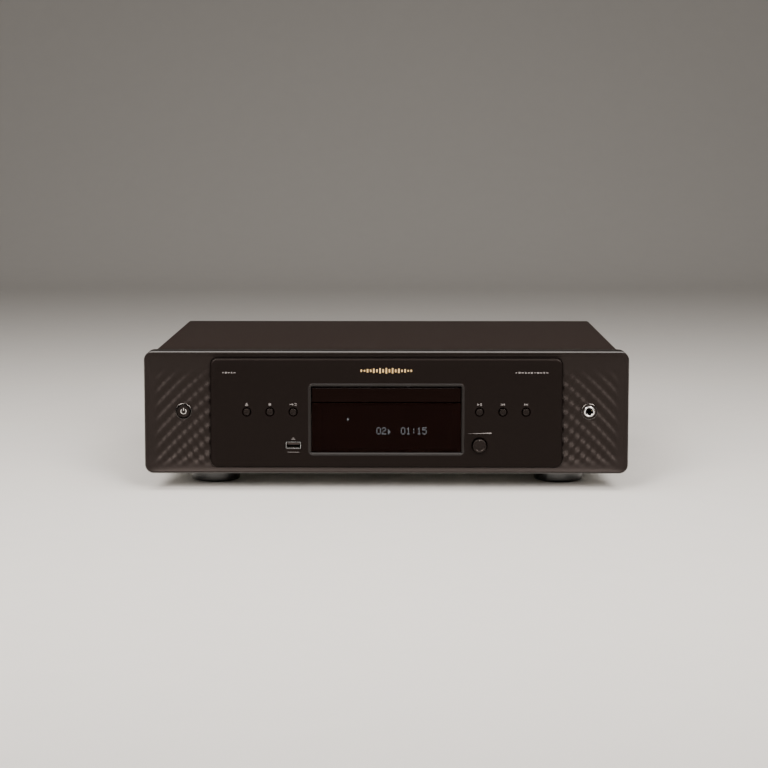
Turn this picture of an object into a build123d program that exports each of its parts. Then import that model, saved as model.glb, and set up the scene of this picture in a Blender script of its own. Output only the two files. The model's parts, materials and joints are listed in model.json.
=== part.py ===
"""A full-width compact disc player: case, front panel, loading mechanism, circuit boards and rear sockets.

Frame: millimetres, +X to the right seen from the front, +Y towards the rear, +Z up.
The origin is the bottom centre of the bounding box, on the surface that the feet stand on.
"""
import os
from math import atan2, cos, pi, radians, sin, tan

from build123d import *

# ---------------------------------------------------------------- driving dimensions
panel_width = 442.0
panel_height = 112.0
panel_corner = 8.0
overall_depth = 379.0
foot_height = 16.0          # shelf to the underside of the front panel
sheet = 1.2                 # folded steel sheet of the case

# front panel, from the knob's face backwards
front_y = -overall_depth / 2
rear_y = overall_depth / 2
knob_proud = 6.0
plate_y = front_y + knob_proud          # face of the centre plate
plate_thickness = 6.0
plate_back_y = plate_y + plate_thickness
rim_y = plate_y + 2.0                   # rim of the dished bezel
bezel_floor = 3.0
bezel_inner_y = plate_back_y + bezel_floor
bezel_back_y = rim_y + 23.5
bezel_wall = 2.5
rim_width = 1.4
panel_mid_z = foot_height + panel_height / 2

# centre plate, its window and the row of keys
plate_width = 321.0
plate_height = 99.6
plate_corner = 6.0
plate_bevel = 2.6
plate_bevel_depth = 1.0
window_width = 141.0
window_height = 64.6
window_z = panel_mid_z - 6.2
window_chamfer = 1.8
post_x = (95.0, 205.0)                  # screw posts behind the panel
post_z = 42.0
key_z = panel_mid_z + 0.8
key_x = (85.0, 106.2, 127.4)
lower_row_z = panel_mid_z - 29.8        # centre of the level knob and of the USB socket
end_x = 185.4                           # power button on the left, headphone socket on the right
key_radius = 3.1
key_proud = 1.2
knob_radius = 6.4
power_radius = 5.8
trim_outer_radius = 7.4
trim_inner_radius = 6.2
jack_radius = 3.25
display_width = 120.0
display_height = 40.0
display_z = 58.0
control_board_left = -200.0
control_board_right = 176.0
control_board_bottom = 28.0
control_board_top = 78.4

# case
case_width = 428.0
case_top_z = 127.0
base_z = 18.0
rear_panel_y = 176.0
rear_face_y = rear_panel_y + sheet
cover_front_y = bezel_back_y + 0.1
cover_bottom_z = base_z + 1.5
inside_x = case_width / 2 - sheet       # inner face of the cover's sides

# feet
foot_x = 162.0
foot_front_y = plate_y + 73.0
foot_rear_y = 128.0
foot_radius = 23.0
pad_thickness = 1.5

# tray and disc
disc_radius = 60.0
disc_thickness = 1.2
tray_half_width = 64.5
tray_front_y = plate_back_y + 0.5
disc_y = tray_front_y + 66.0            # disc centre with the tray shut
tray_top_z = 93.0
tray_bottom_z = 85.4
seat_z = 88.4                           # the disc lies here in the tray
small_seat_z = 86.9
slot_half_width = 22.0
tray_rear_y = 4.5
door_bottom_z = 81.6
door_top_z = 94.8
door_half_width = 68.0
door_y = plate_y + 2.5

# tray drive
tray_module = 1.0
tray_gear_teeth = 18
pulley_gear_teeth = 16
tray_gear_x = -42.5
tray_rack_x = tray_gear_x - tray_gear_teeth * tray_module / 2
drive_y = -144.0
rack_bottom_z = 81.4
tooth_height = 0.8                      # addendum, in modules: short teeth clear each other's roots
root_depth = 1.25
backlash = 0.25
pulley_groove_radius = 10.5
motor_groove_radius = 3.0
motor_pulley_x = 20.0
belt_size = 1.2
belt_z = 70.2

# loader and traverse
loader_front_y = -156.5
loader_rear_y = 24.0
loader_half_width = 74.0
loader_floor_z = 64.0
loader_top_z = 98.0
traverse_z = 77.0                       # underside of the traverse plate
traverse_plate = 2.5
traverse_half_width = 44.0
pivot_y = 6.0
pivot_z = 75.0
pivot_radius = 2.5
running = 0.05                          # radial clearance of a shaft in its hole
motor_radius = 12.0
motor_height = 14.0
shaft_radius = 1.0
turntable_seat_z = 90.0
rod_radius = 1.5
rod_x = 15.0
rod_z = 82.0
sled_module = 0.8
sled_gear_teeth = 16
sled_gear_y = -58.0
sled_pitch_x = -25.0
lens_y = disc_y + 23.0

os.makedirs("parts", exist_ok=True)


def front(y):
    """A sketch plane that faces the front of the player at depth y: local x is X and local y is Z."""
    return Plane.XZ.offset(-y)


def save(builder, name):
    """Labels a finished sub-part and writes its STEP file."""
    builder.part.label = name
    export_step(builder.part, f"parts/{name}.step")


def polar(radius, angle):
    return (radius * cos(angle), radius * sin(angle))


def gear_face(teeth, module, phase):
    """An involute spur gear face about the origin, with a tooth centred on the angle phase."""
    pressure = radians(20)
    pitch = teeth * module / 2
    base = pitch * cos(pressure)
    tip = pitch + tooth_height * module
    root = pitch - root_depth * module
    half_tooth = pi / (2 * teeth) - backlash / (4 * pitch)
    at_pitch = tan(pressure) - pressure

    def half_angle(radius):
        roll = (max(radius, base) ** 2 / base**2 - 1) ** 0.5
        return half_tooth + at_pitch - (roll - atan2(roll, 1))

    flank = [base + (tip - base) * k / 4 for k in range(5)]
    with BuildSketch() as face:
        with BuildLine():
            for k in range(teeth):
                middle = phase + 2 * pi * k / teeth
                after = middle + 2 * pi / teeth
                rising = [polar(r, middle - half_angle(r)) for r in flank]
                falling = [polar(r, middle + half_angle(r)) for r in reversed(flank)]
                Line(polar(root, middle - half_angle(base)), rising[0])
                Spline(*rising)
                Line(rising[-1], falling[0])
                Spline(*falling)
                Line(falling[-1], polar(root, middle + half_angle(base)))
                Line(polar(root, middle + half_angle(base)), polar(root, after - half_angle(base)))
        make_face()
    return face.sketch


def rack_face(module, pitch_x, gap_y, first, last, back_x, side):
    """A straight rack face along Y with a gap centred on gap_y. side is +1 where the teeth face +X."""
    step = pi * module
    slope = tan(radians(20))
    half = (step / 2 - backlash / 2) / 2
    tip_x = pitch_x + side * tooth_height * module
    root_x = pitch_x - side * root_depth * module
    tip_half = half - slope * tooth_height * module
    root_half = half + slope * root_depth * module
    points = [(back_x, gap_y + first * step), (root_x, gap_y + first * step)]
    for k in range(first, last):
        middle = gap_y + (k + 0.5) * step
        points.append((root_x, middle - root_half))
        points.append((tip_x, middle - tip_half))
        points.append((tip_x, middle + tip_half))
        points.append((root_x, middle + root_half))
    points.append((root_x, gap_y + last * step))
    points.append((back_x, gap_y + last * step))
    with BuildSketch() as face:
        with BuildLine():
            Polyline(*points, close=True)
        make_face()
    return face.sketch


def grooved_pulley(groove_radius, flange_radius, bore_radius, middle_z):
    """A pulley about the Z axis, with a square belt groove centred at middle_z."""
    with BuildPart() as pulley:
        for bottom, top, radius in (
            (middle_z - 1.6, middle_z - 0.65, flange_radius),
            (middle_z - 0.65, middle_z + 0.65, groove_radius),
            (middle_z + 0.65, middle_z + 1.6, flange_radius),
        ):
            with BuildSketch(Plane.XY.offset(bottom)):
                Circle(radius)
                Circle(bore_radius, mode=Mode.SUBTRACT)
            extrude(amount=top - bottom)
    return pulley.part


# ---------------------------------------------------------------- front panel

post_points = [(s * x, panel_mid_z + t * post_z) for s in (-1, 1) for x in post_x for t in (-1, 1)]
with BuildPart() as front_bezel:
    with BuildSketch(front(rim_y)):
        with Locations((0, panel_mid_z)):
            RectangleRounded(panel_width, panel_height, panel_corner)
    extrude(amount=rim_y - bezel_back_y)
    chamfer(front_bezel.faces().sort_by(Axis.Y)[0].edges(), 0.8)
    with BuildSketch(front(bezel_inner_y)):
        with Locations((0, panel_mid_z)):
            RectangleRounded(
                panel_width - 2 * bezel_wall, panel_height - 2 * bezel_wall, panel_corner - bezel_wall
            )
    extrude(amount=bezel_inner_y - bezel_back_y, mode=Mode.SUBTRACT)
    # the dish: steep at the rim, flat where the texture and the centre plate sit
    with BuildSketch(front(rim_y)):
        with Locations((0, panel_mid_z)):
            RectangleRounded(
                panel_width - 2 * rim_width, panel_height - 2 * rim_width, panel_corner - rim_width
            )
    with BuildSketch(front(plate_back_y)):
        with Locations((0, panel_mid_z)):
            RectangleRounded(panel_width - 16, plate_height + 0.6, panel_corner - rim_width)
    loft(mode=Mode.SUBTRACT)
    # openings behind the centre plate and in the two textured ends
    with BuildSketch(front(plate_back_y)):
        with Locations((0, window_z)):
            Rectangle(window_width + 1, window_height - 1)
        with Locations(*[(s * x, key_z) for s in (-1, 1) for x in key_x]):
            Circle(4.8)
        with Locations((key_x[0], lower_row_z)):
            Circle(7.2)
        with Locations((-key_x[0], lower_row_z)):
            Rectangle(17, 9)
        with Locations((-end_x, key_z)):
            Circle(power_radius + 0.3)
        with Locations((end_x, key_z)):
            Circle(5.1)
    extrude(amount=-bezel_floor, mode=Mode.SUBTRACT)
    # screw posts on the back
    with BuildSketch(front(bezel_inner_y)):
        with Locations(*post_points):
            Circle(4)
            Circle(1.3, mode=Mode.SUBTRACT)
    extrude(amount=bezel_inner_y - bezel_back_y)
save(front_bezel, "front_bezel")

with BuildPart() as front_plate:
    with BuildSketch(front(plate_back_y)):
        with Locations((0, panel_mid_z)):
            RectangleRounded(plate_width, plate_height, plate_corner)
    extrude(amount=plate_thickness - plate_bevel_depth)
    with BuildSketch(front(plate_y + plate_bevel_depth)):
        with Locations((0, panel_mid_z)):
            RectangleRounded(plate_width, plate_height, plate_corner)
    with BuildSketch(front(plate_y)):
        with Locations((0, panel_mid_z)):
            RectangleRounded(
                plate_width - 2 * plate_bevel, plate_height - 2 * plate_bevel, plate_corner - plate_bevel
            )
    loft()
    # window: a chamfered mouth, then straight through
    with BuildSketch(front(plate_y)):
        with Locations((0, window_z)):
            RectangleRounded(window_width, window_height, 2.4)
    with BuildSketch(front(plate_y + window_chamfer)):
        with Locations((0, window_z)):
            RectangleRounded(window_width - 2 * window_chamfer, window_height - 2 * window_chamfer, 0.6)
    loft(mode=Mode.SUBTRACT)
    with BuildSketch(front(plate_y)):
        with Locations((0, window_z)):
            RectangleRounded(window_width - 2 * window_chamfer, window_height - 2 * window_chamfer, 0.6)
    extrude(amount=-plate_thickness, mode=Mode.SUBTRACT)
    with Locations(front(plate_y)):
        with Locations(*[(s * x, key_z) for s in (-1, 1) for x in key_x]):
            CounterSinkHole(key_radius + 0.25, key_radius + 1.25, plate_thickness, 90)
        with Locations((key_x[0], lower_row_z)):
            CounterSinkHole(knob_radius + 0.4, knob_radius + 1.0, plate_thickness, 90)
    with BuildSketch(front(plate_y)):
        with Locations((-key_x[0], lower_row_z)):
            RectangleRounded(15.4, 8.0, 1.4)
    with BuildSketch(front(plate_y + 0.6)):
        with Locations((-key_x[0], lower_row_z)):
            RectangleRounded(14.2, 6.8, 0.8)
    loft(mode=Mode.SUBTRACT)
    with BuildSketch(front(plate_y)):
        with Locations((-key_x[0], lower_row_z)):
            RectangleRounded(14.2, 6.8, 0.8)
    extrude(amount=-plate_thickness, mode=Mode.SUBTRACT)
save(front_plate, "front_plate")

lens_bottom_z = window_z - window_height / 2 + window_chamfer + 0.4
lens_top_z = door_bottom_z - 0.6
with BuildPart() as display_lens:
    with BuildSketch(front(door_y)):
        with Locations((0, (lens_bottom_z + lens_top_z) / 2)):
            Rectangle(2 * door_half_width + 0.6, lens_top_z - lens_bottom_z)
    extrude(amount=door_y - plate_back_y)
    fillet(display_lens.faces().sort_by(Axis.Y)[0].edges(), 0.3)
    with BuildSketch(front(plate_back_y)):
        with Locations((0, (lens_bottom_z - 1 + lens_top_z) / 2)):
            Rectangle(2 * door_half_width + 4, lens_top_z - lens_bottom_z + 1)
    extrude(amount=-1.6)
save(display_lens, "display_lens")

with BuildPart() as display_panel:
    with BuildSketch(front(plate_back_y + 1.8)):
        with Locations((0, display_z)):
            Rectangle(display_width, display_height)
    extrude(amount=-4.0)
save(display_panel, "display_panel")

with BuildPart() as tray_door:
    with BuildSketch(front(door_y)):
        with Locations((0, (door_bottom_z + door_top_z) / 2)):
            Rectangle(2 * door_half_width, door_top_z - door_bottom_z)
    extrude(amount=door_y - tray_front_y)
    fillet(tray_door.faces().sort_by(Axis.Y)[0].edges(), 0.5)
save(tray_door, "tray_door")

board_y = bezel_inner_y + 4.5           # front face of the control board
switch_y = board_y - 2.4                # tip of each key switch's plunger
stem_y = switch_y - 1.0


def key(x):
    """A round key: a cap in the plate's hole, a collar that keeps it in, and a stem to its switch."""
    with BuildPart() as cap:
        with BuildSketch(front(plate_y - key_proud)):
            with Locations((x, key_z)):
                Circle(key_radius)
        extrude(amount=plate_y - key_proud - plate_back_y - 0.1)
        fillet(cap.faces().sort_by(Axis.Y)[0].edges(), 0.5)
        with BuildSketch(front(plate_back_y + 0.1)):
            with Locations((x, key_z)):
                Circle(4.5)
        extrude(amount=-1.4)
        with BuildSketch(front(plate_back_y + 1.5)):
            with Locations((x, key_z)):
                Circle(1.5)
        extrude(amount=plate_back_y + 1.5 - stem_y)
    return cap


key_names = {
    -key_x[2]: "open_close_button",
    -key_x[1]: "stop_button",
    -key_x[0]: "input_button",
    key_x[0]: "play_pause_button",
    key_x[1]: "skip_back_button",
    key_x[2]: "skip_forward_button",
}
for x, name in key_names.items():
    save(key(x), name)

with BuildPart() as power_button:
    with BuildSketch(front(plate_back_y - 2.6)):
        with Locations((-end_x, key_z)):
            Circle(power_radius)
    extrude(amount=-(2.6 + bezel_floor + 0.2))
    fillet(power_button.faces().sort_by(Axis.Y)[0].edges(), 0.6)
    with BuildSketch(front(bezel_inner_y + 0.2)):
        with Locations((-end_x, key_z)):
            Circle(7.0)
    extrude(amount=-0.7)
    with BuildSketch(front(bezel_inner_y + 0.9)):
        with Locations((-end_x, key_z)):
            Circle(1.5)
    extrude(amount=bezel_inner_y + 0.9 - stem_y)
save(power_button, "power_button")

with BuildPart() as trim_rings:
    with BuildSketch(front(plate_back_y)):
        with Locations((-end_x, key_z), (end_x, key_z)):
            Circle(trim_outer_radius)
            Circle(trim_inner_radius, mode=Mode.SUBTRACT)
    extrude(amount=2.0)
    chamfer(trim_rings.edges().filter_by(GeomType.CIRCLE).group_by(Axis.Y)[0], 0.35)
save(trim_rings, "trim_rings")

with BuildPart() as phones_level_knob:
    with BuildSketch(front(front_y)):
        with Locations((key_x[0], lower_row_z)):
            Circle(knob_radius)
    extrude(amount=front_y - (plate_back_y - 0.7))
    chamfer(phones_level_knob.faces().sort_by(Axis.Y)[0].edges(), 0.6)
    with BuildSketch(front(front_y)):
        with Locations((key_x[0], lower_row_z)):
            Circle(knob_radius - 1.7)
    extrude(amount=-0.5, mode=Mode.SUBTRACT)
    with BuildSketch(front(plate_back_y - 0.7)):
        with Locations((key_x[0], lower_row_z)):
            Circle(3.0)
    extrude(amount=plate_back_y - 0.7 - board_y + 0.4)
save(phones_level_knob, "phones_level_knob")

with BuildPart() as phones_level_control:
    with BuildSketch(front(bezel_inner_y + 0.2)):
        with Locations((key_x[0], lower_row_z)):
            Rectangle(14, 14)
            Circle(3.0 + running, mode=Mode.SUBTRACT)
    extrude(amount=bezel_inner_y + 0.2 - board_y)
save(phones_level_control, "phones_level_control")

with BuildPart() as phones_socket:
    with BuildSketch(front(plate_back_y - 1.8)):
        with Locations((end_x, key_z)):
            Circle(5.0)
    extrude(amount=-(1.8 + bezel_floor + 0.2))
    fillet(phones_socket.faces().sort_by(Axis.Y)[0].edges(), 0.6)
    with BuildSketch(front(bezel_inner_y + 0.2)):
        with Locations((end_x, key_z)):
            Rectangle(15, 15)
    extrude(amount=-26)
    with BuildSketch(front(plate_back_y - 1.8)):
        with Locations((end_x, key_z)):
            Circle(jack_radius)
    extrude(amount=-28, mode=Mode.SUBTRACT)
save(phones_socket, "phones_socket")

usb_y = plate_y + 0.7
usb_back_y = usb_y + 17
with BuildPart() as usb_shell:
    with BuildSketch(front(usb_y)):
        with Locations((-key_x[0], lower_row_z)):
            RectangleRounded(13.6, 6.2, 0.6)
            Rectangle(12.6, 5.2, mode=Mode.SUBTRACT)
    extrude(amount=usb_y - usb_back_y)
save(usb_shell, "usb_shell")

with BuildPart() as usb_tongue:
    with BuildSketch(front(usb_back_y)):
        with Locations((-key_x[0], lower_row_z)):
            Rectangle(12.6, 5.2)
    extrude(amount=2)
    with BuildSketch(front(usb_y + 1.2)):
        with Locations((-key_x[0], lower_row_z + 1.1)):
            Rectangle(11.2, 1.9)
    extrude(amount=usb_y + 1.2 - usb_back_y)
save(usb_tongue, "usb_tongue")

with BuildPart() as control_board:
    with BuildSketch(front(board_y)):
        with Locations(
            ((control_board_left + control_board_right) / 2, (control_board_bottom + control_board_top) / 2)
        ):
            Rectangle(control_board_right - control_board_left, control_board_top - control_board_bottom)
        with Locations((-key_x[0], lower_row_z)):
            Rectangle(15, 8, mode=Mode.SUBTRACT)
        with Locations((-post_x[0], panel_mid_z - post_z), (post_x[0], panel_mid_z - post_z)):
            Circle(4.2, mode=Mode.SUBTRACT)
    extrude(amount=-1.6)
save(control_board, "control_board")

with BuildPart() as key_switches:
    switch_points = [(x, key_z) for x in (*key_names, -end_x)]
    with BuildSketch(front(board_y)):
        with Locations(*switch_points):
            Rectangle(6, 6)
    extrude(amount=1.6)
    with BuildSketch(front(board_y - 1.6)):
        with Locations(*switch_points):
            Circle(1.5)
    extrude(amount=0.8)
save(key_switches, "key_switches")

# ---------------------------------------------------------------- case

screw_points = [(y, 32.0) for y in (-120.0, 10.0, 140.0)]

with BuildPart() as top_cover:
    with BuildSketch(front(cover_front_y)):
        with Locations((0, (case_top_z + cover_bottom_z) / 2)):
            shell = Rectangle(case_width, case_top_z - cover_bottom_z)
            fillet(shell.vertices().group_by(Axis.Y)[-1], 3.0)
        with BuildSketch(mode=Mode.SUBTRACT):
            with Locations((0, (case_top_z - sheet + cover_bottom_z) / 2)):
                room = Rectangle(2 * inside_x, case_top_z - sheet - cover_bottom_z)
                fillet(room.vertices().group_by(Axis.Y)[-1], 3.0 - sheet)
    extrude(amount=cover_front_y - rear_panel_y + 0.1)
    with BuildSketch(Plane.YZ):
        with Locations(*screw_points):
            Circle(1.8)
    extrude(amount=case_width, both=True, mode=Mode.SUBTRACT)
save(top_cover, "top_cover")

base_half_width = inside_x - 0.2
base_front_y = cover_front_y + 1.3
base_side_height = 25.0
base_lip_height = 11.0
vent_length = 70.0
vent_width = 3.0
vent_pitch = 9.0
base_rear_y = rear_panel_y - 0.1
board_z = 27.0
board_thickness = 1.6
board_top_z = board_z + board_thickness
standoffs = [(x, y) for x in (100, 200) for y in (-130, 160)]
standoffs += [(x, y) for x in (-200, -100) for y in (40, 160)] + [(-16, 136)]
foot_points = [(s * foot_x, y) for s in (-1, 1) for y in (foot_front_y, foot_rear_y)]
with BuildPart() as chassis_base:
    base_length = base_rear_y - base_front_y
    base_mid_y = (base_rear_y + base_front_y) / 2
    with BuildSketch(Plane.XY.offset(base_z)):
        with Locations((0, base_mid_y)):
            Rectangle(2 * base_half_width, base_length)
        with Locations(*foot_points):
            Circle(2.1, mode=Mode.SUBTRACT)
        with Locations((0, -40)):
            with GridLocations(vent_pitch, 0, 9, 1):
                SlotOverall(vent_length, vent_width, rotation=90, mode=Mode.SUBTRACT)
    extrude(amount=sheet)
    with BuildSketch(Plane.XY.offset(base_z + sheet)):
        for s in (-1, 1):
            with Locations((s * (base_half_width - sheet / 2), base_mid_y)):
                Rectangle(sheet, base_length)
    extrude(amount=base_side_height)
    with BuildSketch(Plane.XY.offset(base_z + sheet)):
        with Locations((0, base_front_y + sheet / 2)):
            Rectangle(2 * base_half_width, sheet)
    extrude(amount=base_lip_height)
    with BuildSketch(Plane.XY.offset(base_z + sheet)):
        with Locations(*standoffs):
            Circle(3.5)
    extrude(amount=board_z - base_z - sheet)
    with BuildSketch(Plane.YZ):
        with Locations(*screw_points):
            Circle(1.5)
    extrude(amount=case_width, both=True, mode=Mode.SUBTRACT)
save(chassis_base, "chassis_base")

ribbon_x, ribbon_z = 150.0, 40.0
with BuildPart() as inner_front:
    with BuildSketch(front(cover_front_y)):
        with Locations((0, panel_mid_z)):
            Rectangle(2 * inside_x - 5, 104)
        with Locations((0, 83)):
            Rectangle(156, 50, mode=Mode.SUBTRACT)
        with Locations((end_x, key_z)):
            Rectangle(18, 18, mode=Mode.SUBTRACT)
        with Locations(*post_points):
            Circle(1.6, mode=Mode.SUBTRACT)
        with Locations((ribbon_x, ribbon_z)):
            SlotOverall(32, 6, mode=Mode.SUBTRACT)
    extrude(amount=-sheet)
save(inner_front, "inner_front")

# flat cable from the control board, through the inner front, down to the main board
with BuildPart() as ribbon_cable:
    with BuildSketch(Plane.YZ.offset(ribbon_x - 11)):
        with BuildLine():
            Polyline(
                (board_y + 1.6, ribbon_z - 0.4), (-146.2, ribbon_z - 0.4), (-129.2, board_top_z),
                (-127.8, board_top_z), (-145.8, ribbon_z + 0.4), (board_y + 1.6, ribbon_z + 0.4), close=True,
            )
        make_face()
    extrude(amount=22)
save(ribbon_cable, "ribbon_cable")

# rear panel, seen from the front: mains inlet at -X, audio sockets at +X
socket_z = 46.0
mains_x, mains_z = -178.0, 62.0
rca_x = (176.0, 152.0)
coaxial_x, optical_x = 112.0, 84.0
remote_x = (34.0, 12.0)
remote_switch_x = -12.0
rear_screw_points = [(-206, 118), (-70, 118), (70, 118), (206, 118), (-206, 26), (0, 26), (206, 26)]
with BuildPart() as rear_panel:
    with BuildSketch(front(rear_panel_y)):
        with Locations((0, (base_z + 125.6) / 2)):
            Rectangle(2 * base_half_width, 125.6 - base_z)
        with Locations((mains_x, mains_z)):
            Rectangle(27.6, 20.2, mode=Mode.SUBTRACT)
        with Locations(*[(x, socket_z) for x in (*rca_x, coaxial_x)]):
            Circle(4.6, mode=Mode.SUBTRACT)
        with Locations((optical_x, socket_z)):
            Rectangle(11.2, 11.2, mode=Mode.SUBTRACT)
        with Locations(*[(x, socket_z) for x in remote_x]):
            Circle(3.2, mode=Mode.SUBTRACT)
        with Locations((remote_switch_x, socket_z)):
            Rectangle(8.4, 3.6, mode=Mode.SUBTRACT)
        with Locations(*rear_screw_points):
            Circle(1.6, mode=Mode.SUBTRACT)
    extrude(amount=-sheet)
save(rear_panel, "rear_panel")

with BuildPart() as case_screws:
    for side in (-1, 1):
        outer = Plane.YZ.offset(side * case_width / 2)
        with BuildSketch(outer):
            with Locations(*screw_points):
                Circle(3.0)
        extrude(amount=side * 1.6)
        with BuildSketch(outer):
            with Locations(*screw_points):
                Circle(1.4)
        extrude(amount=-side * 5)
    with BuildSketch(front(rear_face_y)):
        with Locations(*rear_screw_points):
            Circle(3.0)
    extrude(amount=-1.6)
    with BuildSketch(front(rear_face_y)):
        with Locations(*rear_screw_points):
            Circle(1.4)
    extrude(amount=5)
save(case_screws, "case_screws")


def foot(x, y):
    """A moulded foot with a wide skirt, a recessed screw and a pocket for its pad."""
    with BuildPart() as body:
        with BuildSketch(Plane.XZ):
            with BuildLine():
                Polyline(
                    (0, 1.0), (foot_radius - 1.2, 1.0), (foot_radius, 2.2), (foot_radius, base_z - 4),
                    (foot_radius - 2.5, base_z - 1.5), (foot_radius - 2.5, base_z), (0, base_z), close=True,
                )
            make_face()
        revolve(axis=Axis.Z)
        with BuildSketch(Plane.XY.offset(1.0)):
            Circle(7)
        extrude(amount=9, mode=Mode.SUBTRACT)
        with BuildSketch(Plane.XY.offset(10)):
            Circle(2.2)
        extrude(amount=8, mode=Mode.SUBTRACT)
        with BuildSketch(Plane.XY.offset(1.0)):
            Circle(18)
            Circle(11, mode=Mode.SUBTRACT)
        extrude(amount=0.5, mode=Mode.SUBTRACT)
    body.part = body.part.moved(Location((x, y, 0)))
    return body


for end, y in (("front", foot_front_y), ("rear", foot_rear_y)):
    for side, x in (("left", -foot_x), ("right", foot_x)):
        save(foot(x, y), f"foot_{end}_{side}")

with BuildPart() as foot_pads:
    with BuildSketch(Plane.XY):
        with Locations(*foot_points):
            Circle(18)
            Circle(11, mode=Mode.SUBTRACT)
    extrude(amount=pad_thickness)
save(foot_pads, "foot_pads")

with BuildPart() as foot_screws:
    with BuildSketch(Plane.XY.offset(10)):
        with Locations(*foot_points):
            Circle(4)
    extrude(amount=-2.6)
    with BuildSketch(Plane.XY.offset(10)):
        with Locations(*foot_points):
            Circle(1.9)
    extrude(amount=13)
save(foot_screws, "foot_screws")

# ---------------------------------------------------------------- power supply and circuit boards

transformer_x, transformer_y = -150.0, -55.0
transformer_height = 42.0
with BuildPart() as transformer:
    with BuildSketch(Plane.XY.offset(base_z + sheet)):
        with Locations((transformer_x, transformer_y)):
            Circle(48)
            Circle(17, mode=Mode.SUBTRACT)
    extrude(amount=transformer_height)
    fillet(transformer.edges().filter_by(GeomType.CIRCLE).filter_by(lambda e: e.radius > 40), 8)
save(transformer, "transformer")

with BuildPart() as transformer_clamp:
    clamp_z = base_z + sheet + transformer_height
    with BuildSketch(Plane.XY.offset(clamp_z)):
        with Locations((transformer_x, transformer_y)):
            Circle(30)
    extrude(amount=2)
    with BuildSketch(Plane.XY.offset(clamp_z + 2)):
        with Locations((transformer_x, transformer_y)):
            RegularPolygon(5.5, 6)
    extrude(amount=4)
    with BuildSketch(Plane.XY.offset(clamp_z)):
        with Locations((transformer_x, transformer_y)):
            Circle(3)
    extrude(amount=-transformer_height)
save(transformer_clamp, "transformer_clamp")

with BuildPart() as power_board:
    with BuildSketch(Plane.XY.offset(board_z)):
        with Locations((-150, 100)):
            Rectangle(112, 132)
    extrude(amount=board_thickness)
save(power_board, "power_board")

with BuildPart() as main_board:
    with BuildSketch(Plane.XY.offset(board_z)):
        with Locations((148, 17)):
            Rectangle(116, 310)
        with Locations((34, 150)):
            Rectangle(120, 44)
    extrude(amount=board_thickness)
    # flat packages: converter, processor and output modules
    with BuildSketch(Plane.XY.offset(board_top_z)):
        with Locations((130, -70), (130, -20), (120, 90), (120, 60)):
            Rectangle(16, 16)
    extrude(amount=2)
save(main_board, "main_board")

with BuildPart() as capacitors:
    top = Plane.XY.offset(board_top_z)
    with BuildSketch(top):
        with Locations((-170, 70), (-135, 70)):
            Circle(12.5)
    extrude(amount=40)
    with BuildSketch(top):
        with Locations((-190, 115), (-165, 115), (-140, 115), (-115, 115)):
            Circle(8)
    extrude(amount=25)
    with BuildSketch(top):
        with Locations((180, 20)):
            with GridLocations(16, 20, 2, 6):
                Circle(5)
    extrude(amount=16)
    fillet(capacitors.faces().filter_by(Axis.Z).sort_by(Axis.Z)[-18:].edges(), 0.6)
save(capacitors, "capacitors")

# ---------------------------------------------------------------- rear sockets

with BuildPart() as mains_inlet:
    with BuildSketch(front(rear_face_y)):
        with Locations((mains_x, mains_z)):
            RectangleRounded(32, 24.4, 2)
    extrude(amount=-2)
    with BuildSketch(front(rear_face_y)):
        with Locations((mains_x, mains_z)):
            Rectangle(27.4, 20)
    extrude(amount=18)
    with BuildSketch(front(rear_face_y + 2)):
        with Locations((mains_x, mains_z)):
            Rectangle(24.4, 16.6)
    extrude(amount=16, mode=Mode.SUBTRACT)
    with BuildSketch(front(rear_face_y - 14)):
        with Locations((mains_x - 7, mains_z + 1), (mains_x + 7, mains_z + 1)):
            Rectangle(2, 4)
    extrude(amount=-13)
save(mains_inlet, "mains_inlet")

wire_y = rear_face_y - 18
with BuildPart() as mains_wires:
    for x in (mains_x - 7, mains_x + 7):
        with BuildLine() as wire_path:
            FilletPolyline(
                (x, wire_y, mains_z), (x, wire_y - 20, mains_z), (x, wire_y - 20, board_top_z), radius=9
            )
        with BuildSketch(Plane((x, wire_y, mains_z), z_dir=(0, -1, 0))):
            Circle(1.5)
        sweep(path=wire_path.line)
save(mains_wires, "mains_wires")

pin_hole_radius = 1.6
collar_radius = 4.15
phono_x = (*rca_x, coaxial_x)
with BuildPart() as phono_sockets:
    # bodies on the main board, collars through the panel, and a hole for each plug's pin
    with BuildSketch(front(rear_panel_y - 0.2)):
        with Locations(*[(x, (board_top_z + socket_z + 6.5) / 2) for x in phono_x]):
            Rectangle(13, socket_z + 6.5 - board_top_z)
    extrude(amount=11)
    with BuildSketch(front(rear_panel_y - 0.2)):
        with Locations(*[(x, socket_z) for x in phono_x]):
            Circle(collar_radius)
    extrude(amount=rear_panel_y - 0.2 - rear_y)
    with BuildSketch(front(rear_face_y + 0.1)):
        with Locations(*[(x, socket_z) for x in phono_x]):
            Circle(6.8)
    extrude(amount=-1.2)
    with BuildSketch(front(rear_y)):
        with Locations(*[(x, socket_z) for x in phono_x]):
            Circle(pin_hole_radius)
    extrude(amount=14, mode=Mode.SUBTRACT)
save(phono_sockets, "phono_sockets")

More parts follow.
